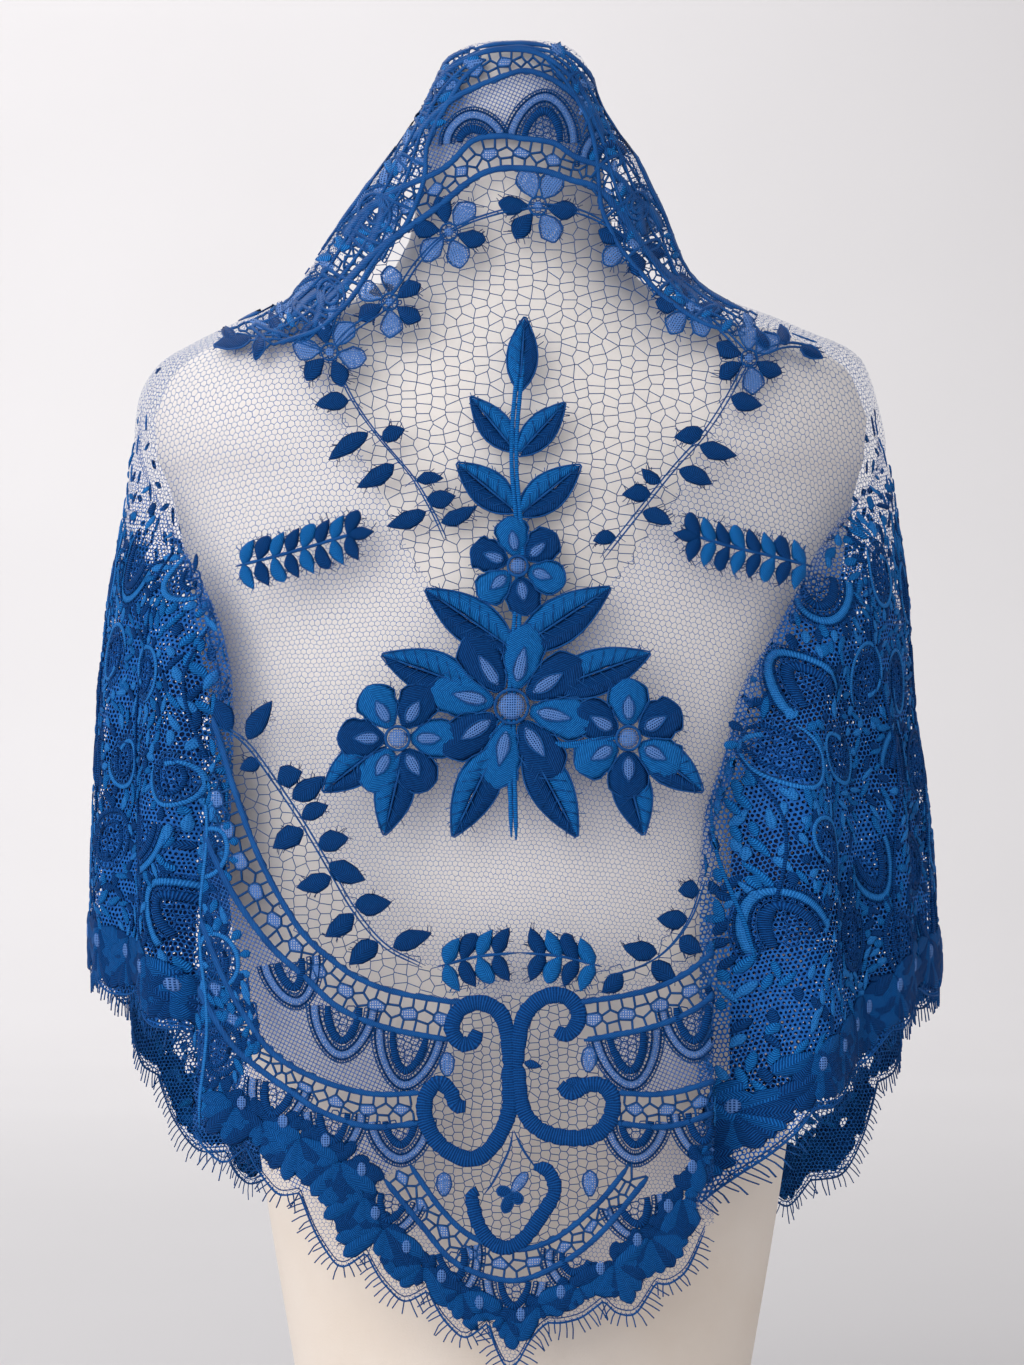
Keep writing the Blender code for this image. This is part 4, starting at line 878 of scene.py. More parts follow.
def ridges(tree, direction, scale, distortion=1.6, detail=2.5, fineness=1.4):
    """Plies or stitches side by side across the lay."""
    wave = tree.nodes.new("ShaderNodeTexWave")
    wave.bands_direction = direction
    for name, value in (("Scale", scale), ("Distortion", distortion), ("Detail", detail),
                        ("Detail Scale", fineness)):
        wave.inputs[name].default_value = value
    tree.links.new(lay_of(tree), wave.inputs["Vector"])
    return wave.outputs["Fac"]


def thread_finish(name, colours, twist=0.9):
    """Twisted cotton thread: slanting plies and a little fuzz, in a dye that varies along it."""
    thread, tree, shader = new_finish(name, 0.55, 0.14)
    number, _ = steps(tree)
    ply = ridges(tree, "DIAGONAL", twist, 1.2, 2.0, 1.0)
    dye = noise(tree, place_in(tree), 90.0)["Fac"]
    shade = number("ADD", number("MULTIPLY", ply, 0.45), number("MULTIPLY", dye, 0.6))
    tree.links.new(tinted(tree, shade, *colours, 0.25, 0.8), shader.inputs["Base Color"])
    relief(tree, shader, ply, 0.6, 0.0004)
    return thread


net_thread = thread_finish("net_thread", ((0.006, 0.062, 0.24), (0.02, 0.135, 0.42)))
open_net = Work("back")
for outline, across, down, seed in (
        (OPEN_GROUND, 14.5, 9.4, 1), (LEAF_STRIP, 12.5, 9.6, 2), (LEAF_STRIP_RIGHT, 12.5, 9.6, 3),
        (MEDALLION, 9.6, 7.4, 4)):
    outline = np.array(outline, float)
    sites, real = net_sites(outline, across, down, 0.22, seed)
    pairs, _ = cells_round(sites, real)
    threads(open_net, pairs, 0.85)
open_net.sewn("open_ground_net", [net_thread])

# ---------------------------------------------------------------- bands of cells and lozenges
# Five curved bands: a gimp cord along each edge, rows of round cells inside, and down the middle a
# chain of cells, every second one filled with pale half stitch.


def smooth(points, step=5.0):
    """A smooth line through the points, at about even steps."""
    points = np.array(points, float)
    ends = np.concatenate([[2 * points[0] - points[1]], points, [2 * points[-1] - points[-2]]])
    line = []
    for a, b, c, d in zip(ends, ends[1:], ends[2:], ends[3:]):
        count = max(1, round(float(np.hypot(*(c - b))) / step))
        for k in range(count):
            t = k / count
            line.append(0.5 * ((2 * b) + (c - a) * t + (2 * a - 5 * b + 4 * c - d) * t * t
                               + (3 * b - a - 3 * c + d) * t ** 3))
    return np.array(line + [points[-1]])


def run_along(line):
    """How far along the line each of its points is."""
    return np.concatenate([[0], np.cumsum(np.hypot(*np.diff(line, axis=0).T))])


def cord(work, points, width, height, finish=0, closed=False, base=0.0, tips=(0.35, 0.35), sides=8, step=None,
         swell=None):
    """A rounded cord or padded strip along a line: so wide, so high, and narrower at its two tips."""
    line = smooth(list(points) + ([points[0]] if closed else []), step or max(3.0, width * 0.55))
    if closed:
        line = line[:-1]
    count = len(line)
    ahead = (np.roll(line, -1, axis=0) - np.roll(line, 1, axis=0)) if closed else np.gradient(line, axis=0)
    ahead /= np.maximum(np.hypot(*ahead.T), 1e-9)[:, None]
    across = np.stack([-ahead[:, 1], ahead[:, 0]], axis=-1)
    run = run_along(line)
    corners, lay, faces = [], [], []
    for k in range(count):
        size = 1.0
        if not closed:
            near, share = min(k, count - 1 - k), tips[0] if k < count / 2 else tips[1]
            size = share + (1 - share) * min(1.0, near / 2.5)
        if swell:
            size *= 1 + swell * math.sin(math.pi * run[k] / run[-1])
        size *= 1 + 0.06 * math.sin(0.9 * run[k] + line[0][0]) + 0.05 * math.sin(2.1 * run[k] + line[0][1])
        for n in range(sides):
            turn = 2 * math.pi * (n - 0.5) / sides
            u, v = math.cos(turn) * width / 2 * size, math.sin(turn)
            rise = height * (0.42 + 0.58 * v) * (size if v > 0 else 1)
            corners.append((*(line[k] + across[k] * u), base + rise))
            lay.append((run[k] * UNIT * 1000, turn * width * UNIT * 500))
    for k in range(count if closed else count - 1):
        for n in range(sides):
            a, b = k * sides + n, k * sides + (n + 1) % sides
            c, d = (b + sides) % (count * sides), (a + sides) % (count * sides)
            faces.append((a, d, c, b))
    if not closed:
        faces += [tuple(range(sides)), tuple(range((count - 1) * sides, count * sides))[::-1]]
    work.add(corners, lay, faces, finish)
    return line


def padding(work, outline, height, finish=0, base=0.0, shrink=0.8):
    """A small filled shape with a rounded top."""
    outline = np.array(outline, float)
    if sum(a[0] * b[1] - a[1] * b[0] for a, b in zip(outline, np.roll(outline, -1, axis=0))) < 0:
        outline = outline[::-1]
    middle, count = outline.mean(axis=0), len(outline)
    rings = [(1.0, base), (1.0, base + height * 0.5), (shrink, base + height), (0.0, base + height * 1.08)]
    corners, faces = [], []
    for size, z in rings[:-1]:
        corners += [(*(middle + (p - middle) * size), z) for p in outline]
    corners.append((*middle, rings[-1][1]))
    for r in range(2):
        faces += [(r * count + k, (r + 1) * count + k, (r + 1) * count + (k + 1) % count,
                   r * count + (k + 1) % count)
                  for k in range(count)]
    faces += [(2 * count + k, 3 * count, 2 * count + (k + 1) % count) for k in range(count)]
    faces.append(tuple(range(count)))
    lay = [(x * UNIT * 1000, y * UNIT * 1000) for x, y, _ in corners]
    work.add(corners, lay, faces, finish)


def stitch_finish(name, colours, pitch, rough, relief_depth, cross=0.0, sparse=False):
    """Close stitches side by side: fine ridges across the lay, uneven in dye, with a soft sheen. Half
    stitch has a second set of threads across the first, and is sparse enough to see through."""
    satin, tree, shader = new_finish(name, rough, 0.07)
    number, _ = steps(tree)
    stitches = ridges(tree, "X", 0.314 / pitch)
    if cross:
        stitches = number("MAXIMUM", stitches, number("MULTIPLY", ridges(tree, "Y", 0.314 / pitch), cross))
    if sparse:
        tree.links.new(number("GREATER_THAN", stitches, 0.5), shader.inputs["Alpha"])
    uneven = noise(tree, lay_of(tree), 0.5, 5.0, 0.65)["Fac"]
    shade = number("ADD", number("MULTIPLY", stitches, 0.5), number("MULTIPLY", uneven, 0.55))
    tree.links.new(tinted(tree, shade, *colours, 0.3, 0.78), shader.inputs["Base Color"])
    relief(tree, shader, number("ADD", stitches, number("MULTIPLY", uneven, 0.8)), 1.0, relief_depth)
    return satin


gimp = thread_finish("gimp_cord", ((0.002, 0.042, 0.185), (0.01, 0.118, 0.395)), 0.5)
pale_stitch = stitch_finish("pale_half_stitch", ((0.04, 0.13, 0.39), (0.11, 0.24, 0.58)), 1.3, 0.6, 0.0002,
                            cross=0.95, sparse=True)
bands = Work("back")


def places_along(line, at):
    """The places that lie so far along a line."""
    return np.stack([np.interp(at, run_along(line), line[:, k]) for k in (0, 1)], axis=-1)


def along(upper, lower, share, step=4.0):
    """The line that runs so far between the two edges of a band."""
    edges = [smooth(edge, step) for edge in (upper, lower)]
    at = np.linspace(0, 1, max(len(edge) for edge in edges))
    first, last = [places_along(edge, at * run_along(edge)[-1]) for edge in edges]
    return first * (1 - share) + last * share


def spaced(line, pitch, start=0.0):
    """Places along a line, one every pitch."""
    return places_along(line, np.arange(start, run_along(line)[-1], pitch))


def band(work, upper, lower, seed, pitch=12.5, cords=(6.0, 6.4), flip=False):
    """One band between its two edges."""
    if flip:
        upper, lower = mirrored(upper), mirrored(lower)
    chance = np.random.default_rng(seed)
    sites, real, pale = [], [], []
    for share, kind, start in ((-0.3, "out", 0), (0.2, "cell", 3), (0.5, "chain", 8), (0.8, "cell", 0),
                               (1.3, "out", 6)):
        row = spaced(along(upper, lower, share), pitch * (1.35 if kind == "chain" else 1.0), start)
        row = row + chance.uniform(-0.9, 0.9, row.shape)
        sites += row.tolist()
        real += [kind != "out"] * len(row)
        pale += [kind == "chain" and k % 2 == 0 for k in range(len(row))]
    pairs, cells = cells_round(np.array(sites), real, upper + lower[::-1])
    threads(work, pairs, 2.5)
    for site, corners in cells.items():
        if pale[site] and len(corners) > 4:
            middle = np.mean(corners, axis=0)
            corners = [tuple(middle + (np.array(c) - middle) * 0.97) for c in corners]
            if max(math.dist(c, middle) for c in corners) < 14:
                padding(work, corners, 0.9, 1, base=0.3, shrink=0.7)
    cord(work, upper, cords[0], 2.8, 2)
    cord(work, lower, cords[1], 2.8, 2)


band(bands, BAND_A_UPPER, BAND_A_LOWER, 11)
band(bands, BAND_A_UPPER, BAND_A_LOWER, 12, flip=True)
band(bands, BAND_B_UPPER, BAND_B_LOWER, 13)
band(bands, BAND_B_UPPER, BAND_B_LOWER, 14, flip=True)
band(bands, BAND_C_UPPER, BAND_C_LOWER, 15)
band(bands, NECK_CORD_UPPER, NECK_CORD_LOWER, 16, pitch=12.0)
band(bands, TOP_CORD_UPPER, TOP_CORD_LOWER, 17, pitch=11.0, cords=(4.6, 5.2))
bands.sewn("lace_bands", [net_thread, pale_stitch, gimp])

# ---------------------------------------------------------------- loops under the bands
# Along the lower edge of each band hang pointed loops: a thick dark gimp, a ladder of fine threads, a
# pale band of half stitch and another ladder. The two above the neck band point upwards.
LOOPS = [
    # middle of the foot, tip of the dark gimp, half width of its foot; all beside each other on a band
    ((344, 1006), (342, 1043), 17), ((410, 1032), (405, 1073), 18), ((290, 960), (296, 990), 13),
    ((280, 1084), (272, 1116), 15), ((334, 1112), (333, 1143), 15), ((400, 1120), (401, 1147), 16),
    ((394, 1196), (386, 1222), 14), ((451, 1250), (458, 1280), 14), ((515, 1280), (514, 1308), 15),
    ((576, 1256), (571, 1274), 15), ((633, 1200), (640, 1226), 15),
    ((474, 140), (472, 126), 15), ((542, 140), (545, 108), 19), ((610, 158), (606, 142), 15),
]
dark_satin = stitch_finish("dark_satin_stitch", ((0.001, 0.024, 0.115), (0.006, 0.092, 0.35)), 1.15, 0.55,
                           0.0006)
mid_satin = stitch_finish("mid_satin_stitch", ((0.001, 0.072, 0.3), (0.018, 0.25, 0.72)), 1.15, 0.55, 0.0006)
loops = Work("back")


def loop_line(foot, tip, half_width, wider, longer, count=15):
    """A pointed loop round the middle of its foot, so much wider and longer than the dark gimp."""
    foot, tip = np.array(foot, float), np.array(tip, float)
    reach = math.dist(foot, tip)
    down = (tip - foot) / reach
    across = np.array([down[1], -down[0]])
    line = []
    for k in range(count):
        turn = math.pi * k / (count - 1)
        line.append(foot + across * math.cos(turn) * (half_width + wider) * (0.8 + 0.2 * abs(math.cos(turn)))
                    + down * (reach + longer) * math.sin(turn) ** 1.15)
    return np.array(line)


def loop(work, foot, tip, half_width, finishes=(0, 1, 2)):
    """One loop: its gimp, the two ladders, the pale band between them and the net in its middle."""
    fine, pale, dark = finishes
    cord(work, loop_line(foot, tip, half_width, -1, -3), 7.4, 2.6, dark, tips=(0.9, 0.9), step=4.0, sides=6,
         swell=0.25)
    for inner, outer, count in ((4.0, 8.0, 15), (17.0, 20.5, 21)):
        first = loop_line(foot, tip, half_width, inner, inner - 1, count)
        last = loop_line(foot, tip, half_width, outer, outer - 1, count)
        near, far = (first, last) if inner < 10 else (last, first)
        threads(work, list(zip(near, near[1:])) + list(zip(first, last)), 1.4)
        threads(work, list(zip(far, far[1:])), 2.2, height=1.0, finish=dark)
        more = [((a + b) / 2, (c + d) / 2) for a, b, c, d in zip(first, first[1:], last, last[1:])]
        threads(work, more, 1.3)
    cord(work, loop_line(foot, tip, half_width, 12.4, 11.4), 8.6, 0.9, pale, tips=(0.9, 0.9), step=4.5,
         sides=6)
    sites, real = net_sites(loop_line(foot, tip, half_width, -1, -3), 7.6, 6.8, 0.16, int(foot[0]))
    threads(work, cells_round(sites, real)[0], 1.3, finish=fine)


for foot, tip, half_width in LOOPS:
    loop(loops, foot, tip, half_width)
    if foot[1] > 900 and foot[0] < 430 and tip[1] < 1160:
        (fx, fy), (tx, ty) = mirrored([foot, tip])
        loop(loops, (fx, fy), (tx, ty), half_width)
loops.sewn("loops_under_bands", [net_thread, pale_stitch, dark_satin])

# ---------------------------------------------------------------- flowers of the neck garland
# Seven flowers on a curved stem round the neck: six petals, some in close dark satin and some in
# pale half stitch with a thread round them, a netted middle, and loose thread ends at the tips.
FLOWERS = [
    # middle, radius, turn in degrees, which petals are dark
    (330, 352, 37, 10, (1, 2, 4)), (390, 302, 36, 30, (0, 2, 5)), (449, 232, 38, 12, (0, 3, 4)),
    (538, 206, 40, 5, (0, 2, 3)), (631, 242, 35, 20, (0, 1, 3)), (690, 305, 35, 5, (0, 3, 4)),
    (749, 358, 36, 25, (0, 2, 3)),
]
GARLAND_STEMS = [
    [(330, 352), (352, 330), (390, 302), (418, 262), (449, 232), (492, 214), (538, 206), (586, 214),
     (631, 242), (662, 272), (690, 305), (722, 330), (749, 358)],
    [(240, 339), (285, 338), (330, 352)], [(749, 358), (786, 345), (822, 350)],
]
GARLAND_LEAVES = [
    # foot, tip, width
    (252, 338, 214, 346, 15), (262, 336, 256, 360, 13), (282, 338, 270, 312, 13), (300, 342, 318, 320, 12),
    (786, 345, 780, 325, 12), (800, 347, 822, 358, 12), (768, 350, 756, 330, 12), (236, 342, 222, 326, 11),
]


def outline_of(width, kind, count):
    """Half of a leaf or petal: how far along, and how wide there. A petal is round, the others pointed."""
    shares = [0.5 - 0.5 * math.cos(math.pi * k / (count - 1)) for k in range(count)]
    if kind == "leaf":
        return [(t, width / 2 * (math.sin(math.pi * t ** 0.8) ** 0.85)) for t in shares]
    if kind == "pointed":
        return [(t, width / 2 * math.sin(math.pi * t ** 1.3) ** 0.75) for t in shares]
    return [(t, width / 2 * min(1.0, 1.12 * math.sin(math.pi * (0.06 + 0.94 * t) ** 1.45) ** 0.62))
            for t in shares]


def blade(work, x0, y0, x1, y1, width, kind="leaf", finish=0, height=2.6, base=0.0, bend=0.0, rim=None,
          ends=0, seed=0, rows=9):
    """A leaf or petal: a rounded pad of stitches from foot to tip, with a thread round it or loose
    thread ends if wanted."""
    foot, ahead = np.array((x0, y0), float), np.array((x1 - x0, y1 - y0), float)
    length = float(np.hypot(*ahead))
    across = np.array([-ahead[1], ahead[0]]) / length
    corners, lay, faces, half = [], [], [], outline_of(width, kind, rows)
    for t, wide in half:
        wide = max(wide, 0.35) * (1 + 0.06 * math.sin(19 * t + x0) + 0.04 * math.sin(31 * t + y1))
        middle = foot + ahead * t + across * bend * math.sin(math.pi * t)
        for u in (-1.0, -0.72, 0.0, 0.72, 1.0):
            top = height * (1 - abs(u) ** 2.4 * 0.85) * (0.35 + 0.65 * min(1.0, wide / (width * 0.3)))
            corners.append((*(middle + across * wide * u), base + (top if abs(u) < 1 else 0.15)))
            lay.append(((length * t + 0.8 * abs(wide * u)) * UNIT * 1000, wide * u * UNIT * 1000))
    for r in range(rows - 1):
        for k in range(4):
            a = r * 5 + k
            faces.append((a, a + 1, a + 6, a + 5))
    under = [r * 5 for r in range(rows)] + [r * 5 + 4 for r in range(rows - 1, -1, -1)]
    faces += [tuple(under), (0, 4, 3, 2, 1), tuple(range((rows - 1) * 5, rows * 5))]
    work.add(corners, lay, faces, finish)
    edge = [corners[k][:2] for k in range(0, rows * 5, 5)]
    edge += [corners[k][:2] for k in range(rows * 5 - 1, 0, -5)]
    if rim is not None:
        cord(work, edge[1:-1], 1.6, 1.8, rim, closed=True, base=base, sides=5, step=5.0)
    chance = np.random.default_rng(seed + int(x0 * 7 + y0))
    for _ in range(ends):
        t = chance.uniform(0.35, 1.0)
        side = chance.choice((-1, 1))
        wide = np.interp(t, [h[0] for h in half], [h[1] for h in half])
        start = foot + ahead * t + across * (wide * 0.9 * side + bend * math.sin(math.pi * t))
        way = across * side * chance.uniform(0.3, 1.0) + ahead / length * chance.uniform(0.2, 1.0)
        end = (start, start + way * chance.uniform(3.5, 8.0))
        threads(work, [end], 0.8, height=0.8, finish=finish if rim is None else rim)


def pointing(work, x, y, way, near, far, *shape, **more):
    """A leaf or petal that points away from a place, from so near it to so far."""
    c, s = math.cos(way), math.sin(way)
    blade(work, x + c * near, y + s * near, x + c * far, y + s * far, *shape, **more)


def oval(x, y, half_width, half_height, turn=0.0, count=16):
    c, s = math.cos(turn), math.sin(turn)
    round_it = [(half_width * math.cos(t), half_height * math.sin(t))
                for t in np.linspace(0, 2 * math.pi, count + 1)]
    return [(x + u * c - v * s, y + u * s + v * c) for u, v in round_it[:-1]]


def blossom(work, x, y, radius, turn, dark, finishes, petals=6, middle=0.23, seed=0):
    """A flower: its petals, its netted middle and a ring of stitches round that."""
    thread, pale, satin = finishes
    for k in range(petals):
        width, finish, height, rim, ends = 0.6, pale, 0.9, thread, 3
        if k in dark:
            width, finish, height, rim, ends = 0.52, satin, 2.2, None, 9
        pointing(work, x, y, math.radians(turn + 360 * k / petals), radius * middle * 0.9, radius,
                 radius * width * 6 / petals, "pointed", finish, height, 0.3 + 0.12 * (k % 2),
                 2.0 * (-1) ** k, rim, ends, seed + k)
    ring = oval(x, y, radius * middle, radius * middle, count=8)
    cord(work, ring, 2.0, 2.2, thread, closed=True, sides=5, step=4.0)
    sites, real = net_sites(np.array(ring), radius * 0.12, radius * 0.11, 0.2, seed, edge=-1.0)
    threads(work, cells_round(sites, real)[0], 1.2, finish=thread)
    padding(work, oval(x, y, radius * 0.13, radius * 0.13, count=7), 1.8, pale, shrink=0.6)


garland = Work("back")
for line in GARLAND_STEMS:
    for apart in (-2.0, 2.0):
        wave = [(px + apart * math.sin(0.9 * k), py + apart) for k, (px, py) in enumerate(line)]
        cord(garland, wave, 1.9, 2.0, 0, sides=5, step=6.0)
for k, (x, y, radius, turn, dark) in enumerate(FLOWERS):
    blossom(garland, x, y, radius, turn, dark, (0, 1, 2), seed=10 * k)
for x0, y0, x1, y1, width in GARLAND_LEAVES:
    blade(garland, x0, y0, x1, y1, width, finish=2, ends=5, rim=0)
piece = garland.sewn("neck_garland", [gimp, pale_stitch, dark_satin], "dark_satin")
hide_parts("flower_garland")

# ---------------------------------------------------------------- leaf sprays and leaf rows
# Plain leaves in satin stitch on thin double stems: a spray down from each last flower, and a row of
# leaves above the lowest open band at each side.
SPRAYS = [
    ([(330, 351), (352, 398), (380, 438), (412, 476), (432, 510), (446, 540)],
     [(352, 400, 320, 404, 19), (380, 440, 402, 430, 17), (372, 430, 334, 456, 18),
      (398, 462, 362, 484, 18), (424, 500, 452, 496, 18), (430, 510, 392, 524, 17),
      (438, 524, 472, 508, 16), (414, 480, 440, 478, 13)]),
    ([(749, 357), (726, 400), (702, 436), (672, 470), (640, 510), (602, 558)],
     [(728, 396, 758, 404, 19), (706, 430, 678, 436, 18), (696, 444, 732, 454, 18),
      (676, 468, 708, 482, 18), (654, 494, 626, 494, 17), (640, 510, 668, 522, 17),
      (618, 536, 596, 540, 15), (662, 484, 644, 470, 13)]),
]
LOWER_LEAVES = {
    "left": ([(216, 722), (246, 742), (276, 782), (304, 824), (330, 868), (356, 912), (386, 946),
              (424, 966)], [
        (232, 734, 214, 700, 20), (246, 742, 270, 704, 20), (262, 762, 242, 768, 16),
        (276, 782, 300, 772, 22), (290, 800, 322, 778, 22), (300, 818, 326, 806, 18),
        (306, 828, 276, 846, 22), (316, 846, 346, 838, 22), (326, 862, 362, 878, 22),
        (334, 876, 300, 886, 20), (352, 904, 388, 902, 22), (356, 912, 328, 934, 20),
        (380, 940, 352, 962, 22), (390, 948, 428, 934, 20)]),
    "right": ([(704, 880), (690, 918), (668, 948), (640, 966), (606, 976)], [
        (701, 890, 680, 890, 18), (690, 918, 660, 918, 20), (678, 936, 700, 950, 20),
        (660, 953, 626, 946, 20), (650, 960, 674, 978, 20), (624, 972, 604, 990, 18)]),
}


def twin_stem(work, line, apart, drop, width, height, finish=0, sides=5):
    """Two thin cords side by side along a line."""
    for off in (-apart, apart):
        cord(work, [(x + off, y + off * drop) for x, y in line], width, height, finish, sides=sides, step=7.0)


def stalked(work, leaf, start, past, ends, seed, bend, stalk, stalk_width, step):
    """A leaf from a little above its foot to a little past its tip, on a stalk."""
    x0, y0, x1, y1, width = leaf
    across, down = x1 - x0, y1 - y0
    blade(work, x0 + across * start, y0 + down * start, x1 + across * past, y1 + down * past, width * 1.05,
          finish=1, ends=ends, seed=seed, bend=bend * (-1) ** seed)
    cord(work, stalk(x0, y0, across, down), *stalk_width, 0, sides=5, step=step)


sprays = Work("back")
for line, leaves in SPRAYS:
    twin_stem(sprays, line, 1.8, 0.4, 1.7, 1.8)
    for k, leaf in enumerate(leaves):
        stalked(sprays, leaf, 0.1, 0.14, 6, k, 1.5, lambda x, y, across, down: [
            (x - across * 0.35, y + abs(across) * 0.25), (x, y), (x + across * 0.3, y + down * 0.3)],
            (1.5, 1.6), 7.0)
sprays.sewn("leaf_sprays", [gimp, dark_satin], "dark_satin")
for side, (line, leaves) in LOWER_LEAVES.items():
    row = Work("back")
    twin_stem(row, line, 1.6, -0.6, 1.8, 2.0)
    for k, leaf in enumerate(leaves):
        stalked(row, leaf, 0.08, 0.1, 5, k, 1.4, lambda x, y, across, down: [
            (x, y), (x + across * 0.25, y + down * 0.25)], (1.8, 1.8), 6.0)
    piece = row.sewn(side + "_leaf_row", [gimp, dark_satin], "dark_satin")
    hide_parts(side + "_leaf_garland")

# ---------------------------------------------------------------- scrolls in the medallion
# Four scrolls of raised satin back to back, and a drop with a small flower below them: the thickest
# work of the lace, stitched across a cord that fills it out.
SCROLLS = [
    # line from the curled end to the stem, width
    ([(478, 1030), (472, 1042), (460, 1042), (452, 1028), (459, 1010), (478, 1002), (498, 1010),
      (507, 1030), (511, 1070)], 10.5),
    ([(556, 1030), (566, 1034), (576, 1026), (578, 1010), (566, 996), (546, 996), (528, 1010), (520, 1032),
      (516, 1070)], 10.5),
    ([(466, 1106), (456, 1104), (450, 1090), (438, 1082), (426, 1096), (426, 1120), (440, 1144),
      (466, 1158), (486, 1152), (502, 1130), (510, 1104), (508, 1062)], 10.5),
    ([(560, 1084), (572, 1092), (588, 1084), (604, 1086), (613, 1100), (608, 1122), (590, 1136),
      (560, 1136), (536, 1126), (522, 1104), (518, 1062)], 10.5),
    ([(478, 1190), (472, 1196), (478, 1222), (490, 1240), (506, 1247), (524, 1238), (542, 1214),
      (555, 1190), (548, 1170), (534, 1166)], 9.5),
]
raised_satin = stitch_finish("raised_satin", ((0.001, 0.026, 0.125), (0.006, 0.092, 0.35)), 1.4, 0.55,
                             0.0005, cross=0.35)
scrolls = Work("back")
for line, width in SCROLLS:
    cord(scrolls, line, width * 1.5, 3.8, 0, tips=(0.75, 0.5), step=3.6, sides=10, swell=0.1)
blade(scrolls, 566, 1080, 596, 1088, 15, "leaf", 0, 3.0, 0.5, ends=4)
blade(scrolls, 524, 1062, 542, 1066, 9, "leaf", 0, 3.0, 0.5, ends=2)
cord(scrolls, [(513, 1130), (509, 1150), (494, 1180), (484, 1194)], 2.6, 2.6, 1, sides=6, step=6.0)
cord(scrolls, [(514, 1130), (524, 1150), (538, 1170)], 2.6, 2.6, 1, sides=6, step=6.0)
for k, (x, y) in enumerate(((500, 1190), (524, 1176), (520, 1200), (506, 1208))):
    blade(scrolls, 512, 1192, x + (x - 512) * 0.25, y + (y - 1192) * 0.25, 11, "petal", 0 if k != 1 else 2,
          2.4, 0.4, rim=1)
for x0, y0, x1, y1 in ((447, 1076, 447, 1052), (444, 1196, 444, 1172), (588, 1072, 590, 1046),
                       (590, 1196, 590, 1170)):
    blade(scrolls, x0, y0, x1, y1, 15, "petal", 2, 1.4, 0.4, rim=1)
piece = scrolls.sewn("medallion_scrolls", [raised_satin, gimp, pale_stitch], "dark_satin")
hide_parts("scroll_motif")

# ---------------------------------------------------------------- gathered border at the neck sides
# Round the neck the lace's border lies in close gathers along the hood's outline: gimp cords with
# ladders and cells between them, small arches, and leaves packed side by side.
NECK_SIDES = {
    "left": ([(474, 46), (444, 60), (424, 92), (406, 124), (388, 156), (364, 190), (336, 226), (306, 268),
              (272, 304), (226, 326)],
             [(484, 62), (460, 84), (442, 116), (428, 148), (424, 186), (408, 222), (378, 260), (352, 300),
              (318, 332), (258, 348)]),
    "right": ([(552, 44), (584, 66), (600, 100), (618, 130), (638, 160), (656, 196), (672, 236), (688, 270),
               (716, 296), (760, 318)],
              [(546, 60), (568, 82), (583, 112), (594, 142), (596, 170), (600, 204), (615, 243), (644, 282),
               (685, 315), (742, 336)]),
}
neck_sides = Work("back")
for side, (outer, inner) in NECK_SIDES.items():
    chance = np.random.default_rng(5 if side == "left" else 6)
    sites, real = [], []
    for share in (-0.18, 0.05, 0.22, 0.39, 0.56, 0.73, 0.9, 1.12):
        row = spaced(along(outer, inner, share), 8.2, chance.uniform(0, 6))
        sites += (row + chance.uniform(-1.6, 1.6, row.shape)).tolist()
        real += [0 < share < 1] * len(row)
    pairs, _ = cells_round(np.array(sites), real, outer + inner[::-1])
    threads(neck_sides, pairs, 2.0 if side == "left" else 1.6)
    for share, width in ((0.02, 4.0), (0.3, 2.2), (0.62, 2.6), (0.98, 4.4)):
        line = along(outer, inner, share, 14.0)[::2]
        line = line + chance.uniform(-1.8, 1.8, line.shape)
        cord(neck_sides, line, width, 2.8, 1, sides=6, step=7.0, base=0.2)
    upper_side, lower_side = along(outer, inner, 0.3), along(outer, inner, 0.94)
    feet = spaced(lower_side, 23.0, 16.0)
    heads = spaced(upper_side, 23.0 * len(upper_side) / max(len(lower_side), 1), 16.0)
    for k, ((fx, fy), (hx, hy)) in enumerate(zip(feet, heads)):
        if k % 2:
            turned = [(fx - 9, fy + 4), (fx - 9 + (hx - fx) * 0.8, fy + (hy - fy) * 0.8), (hx, hy),
                      (fx + 7 + (hx - fx) * 0.7, fy + (hy - fy) * 0.6), (fx + 8, fy - 5)]
            cord(neck_sides, turned, 4.2, 2.6, 1, sides=6, step=5.0, base=0.5)
        for _ in range(3 if side == "left" else 2):
            share = chance.uniform(0.1, 0.9)
            x, y = fx + (hx - fx) * share * 1.6, fy + (hy - fy) * share * 1.6
            way = chance.uniform(0, 2 * math.pi)
            pointing(neck_sides, x, y, way, 0, 17, 9.5, "leaf" if share < 0.5 else "petal",
                     int(chance.choice((2, 2, 3))), 2.2, 0.5, rows=6)
for line in ([(474, 49), (496, 45), (516, 44), (536, 45), (554, 48)],
             [(470, 55), (494, 50), (516, 48), (538, 50), (558, 54)]):
    cord(neck_sides, line, 4.0, 2.6, 1, sides=6, step=6.0, base=0.4)
for foot, tip, half_width in (((356, 244), (384, 200), 14), ((304, 322), (322, 292), 12),
                              ((652, 232), (640, 202), 10)):
    loop(neck_sides, foot, tip, half_width, (0, 3, 1))
for x, y, size in ((376, 214, 20), (332, 296, 17), (428, 96, 12), (636, 206, 14)):
    for share in (1.0, 0.55):
        ring = oval(x, y, size * share * 0.8, size * share, count=12)
        cord(neck_sides, ring, 3.2, 2.4, 1, closed=True, sides=6, step=5.0, base=0.9)
neck_sides.sewn("neck_side_borders", [net_thread, gimp, mid_satin, pale_stitch])

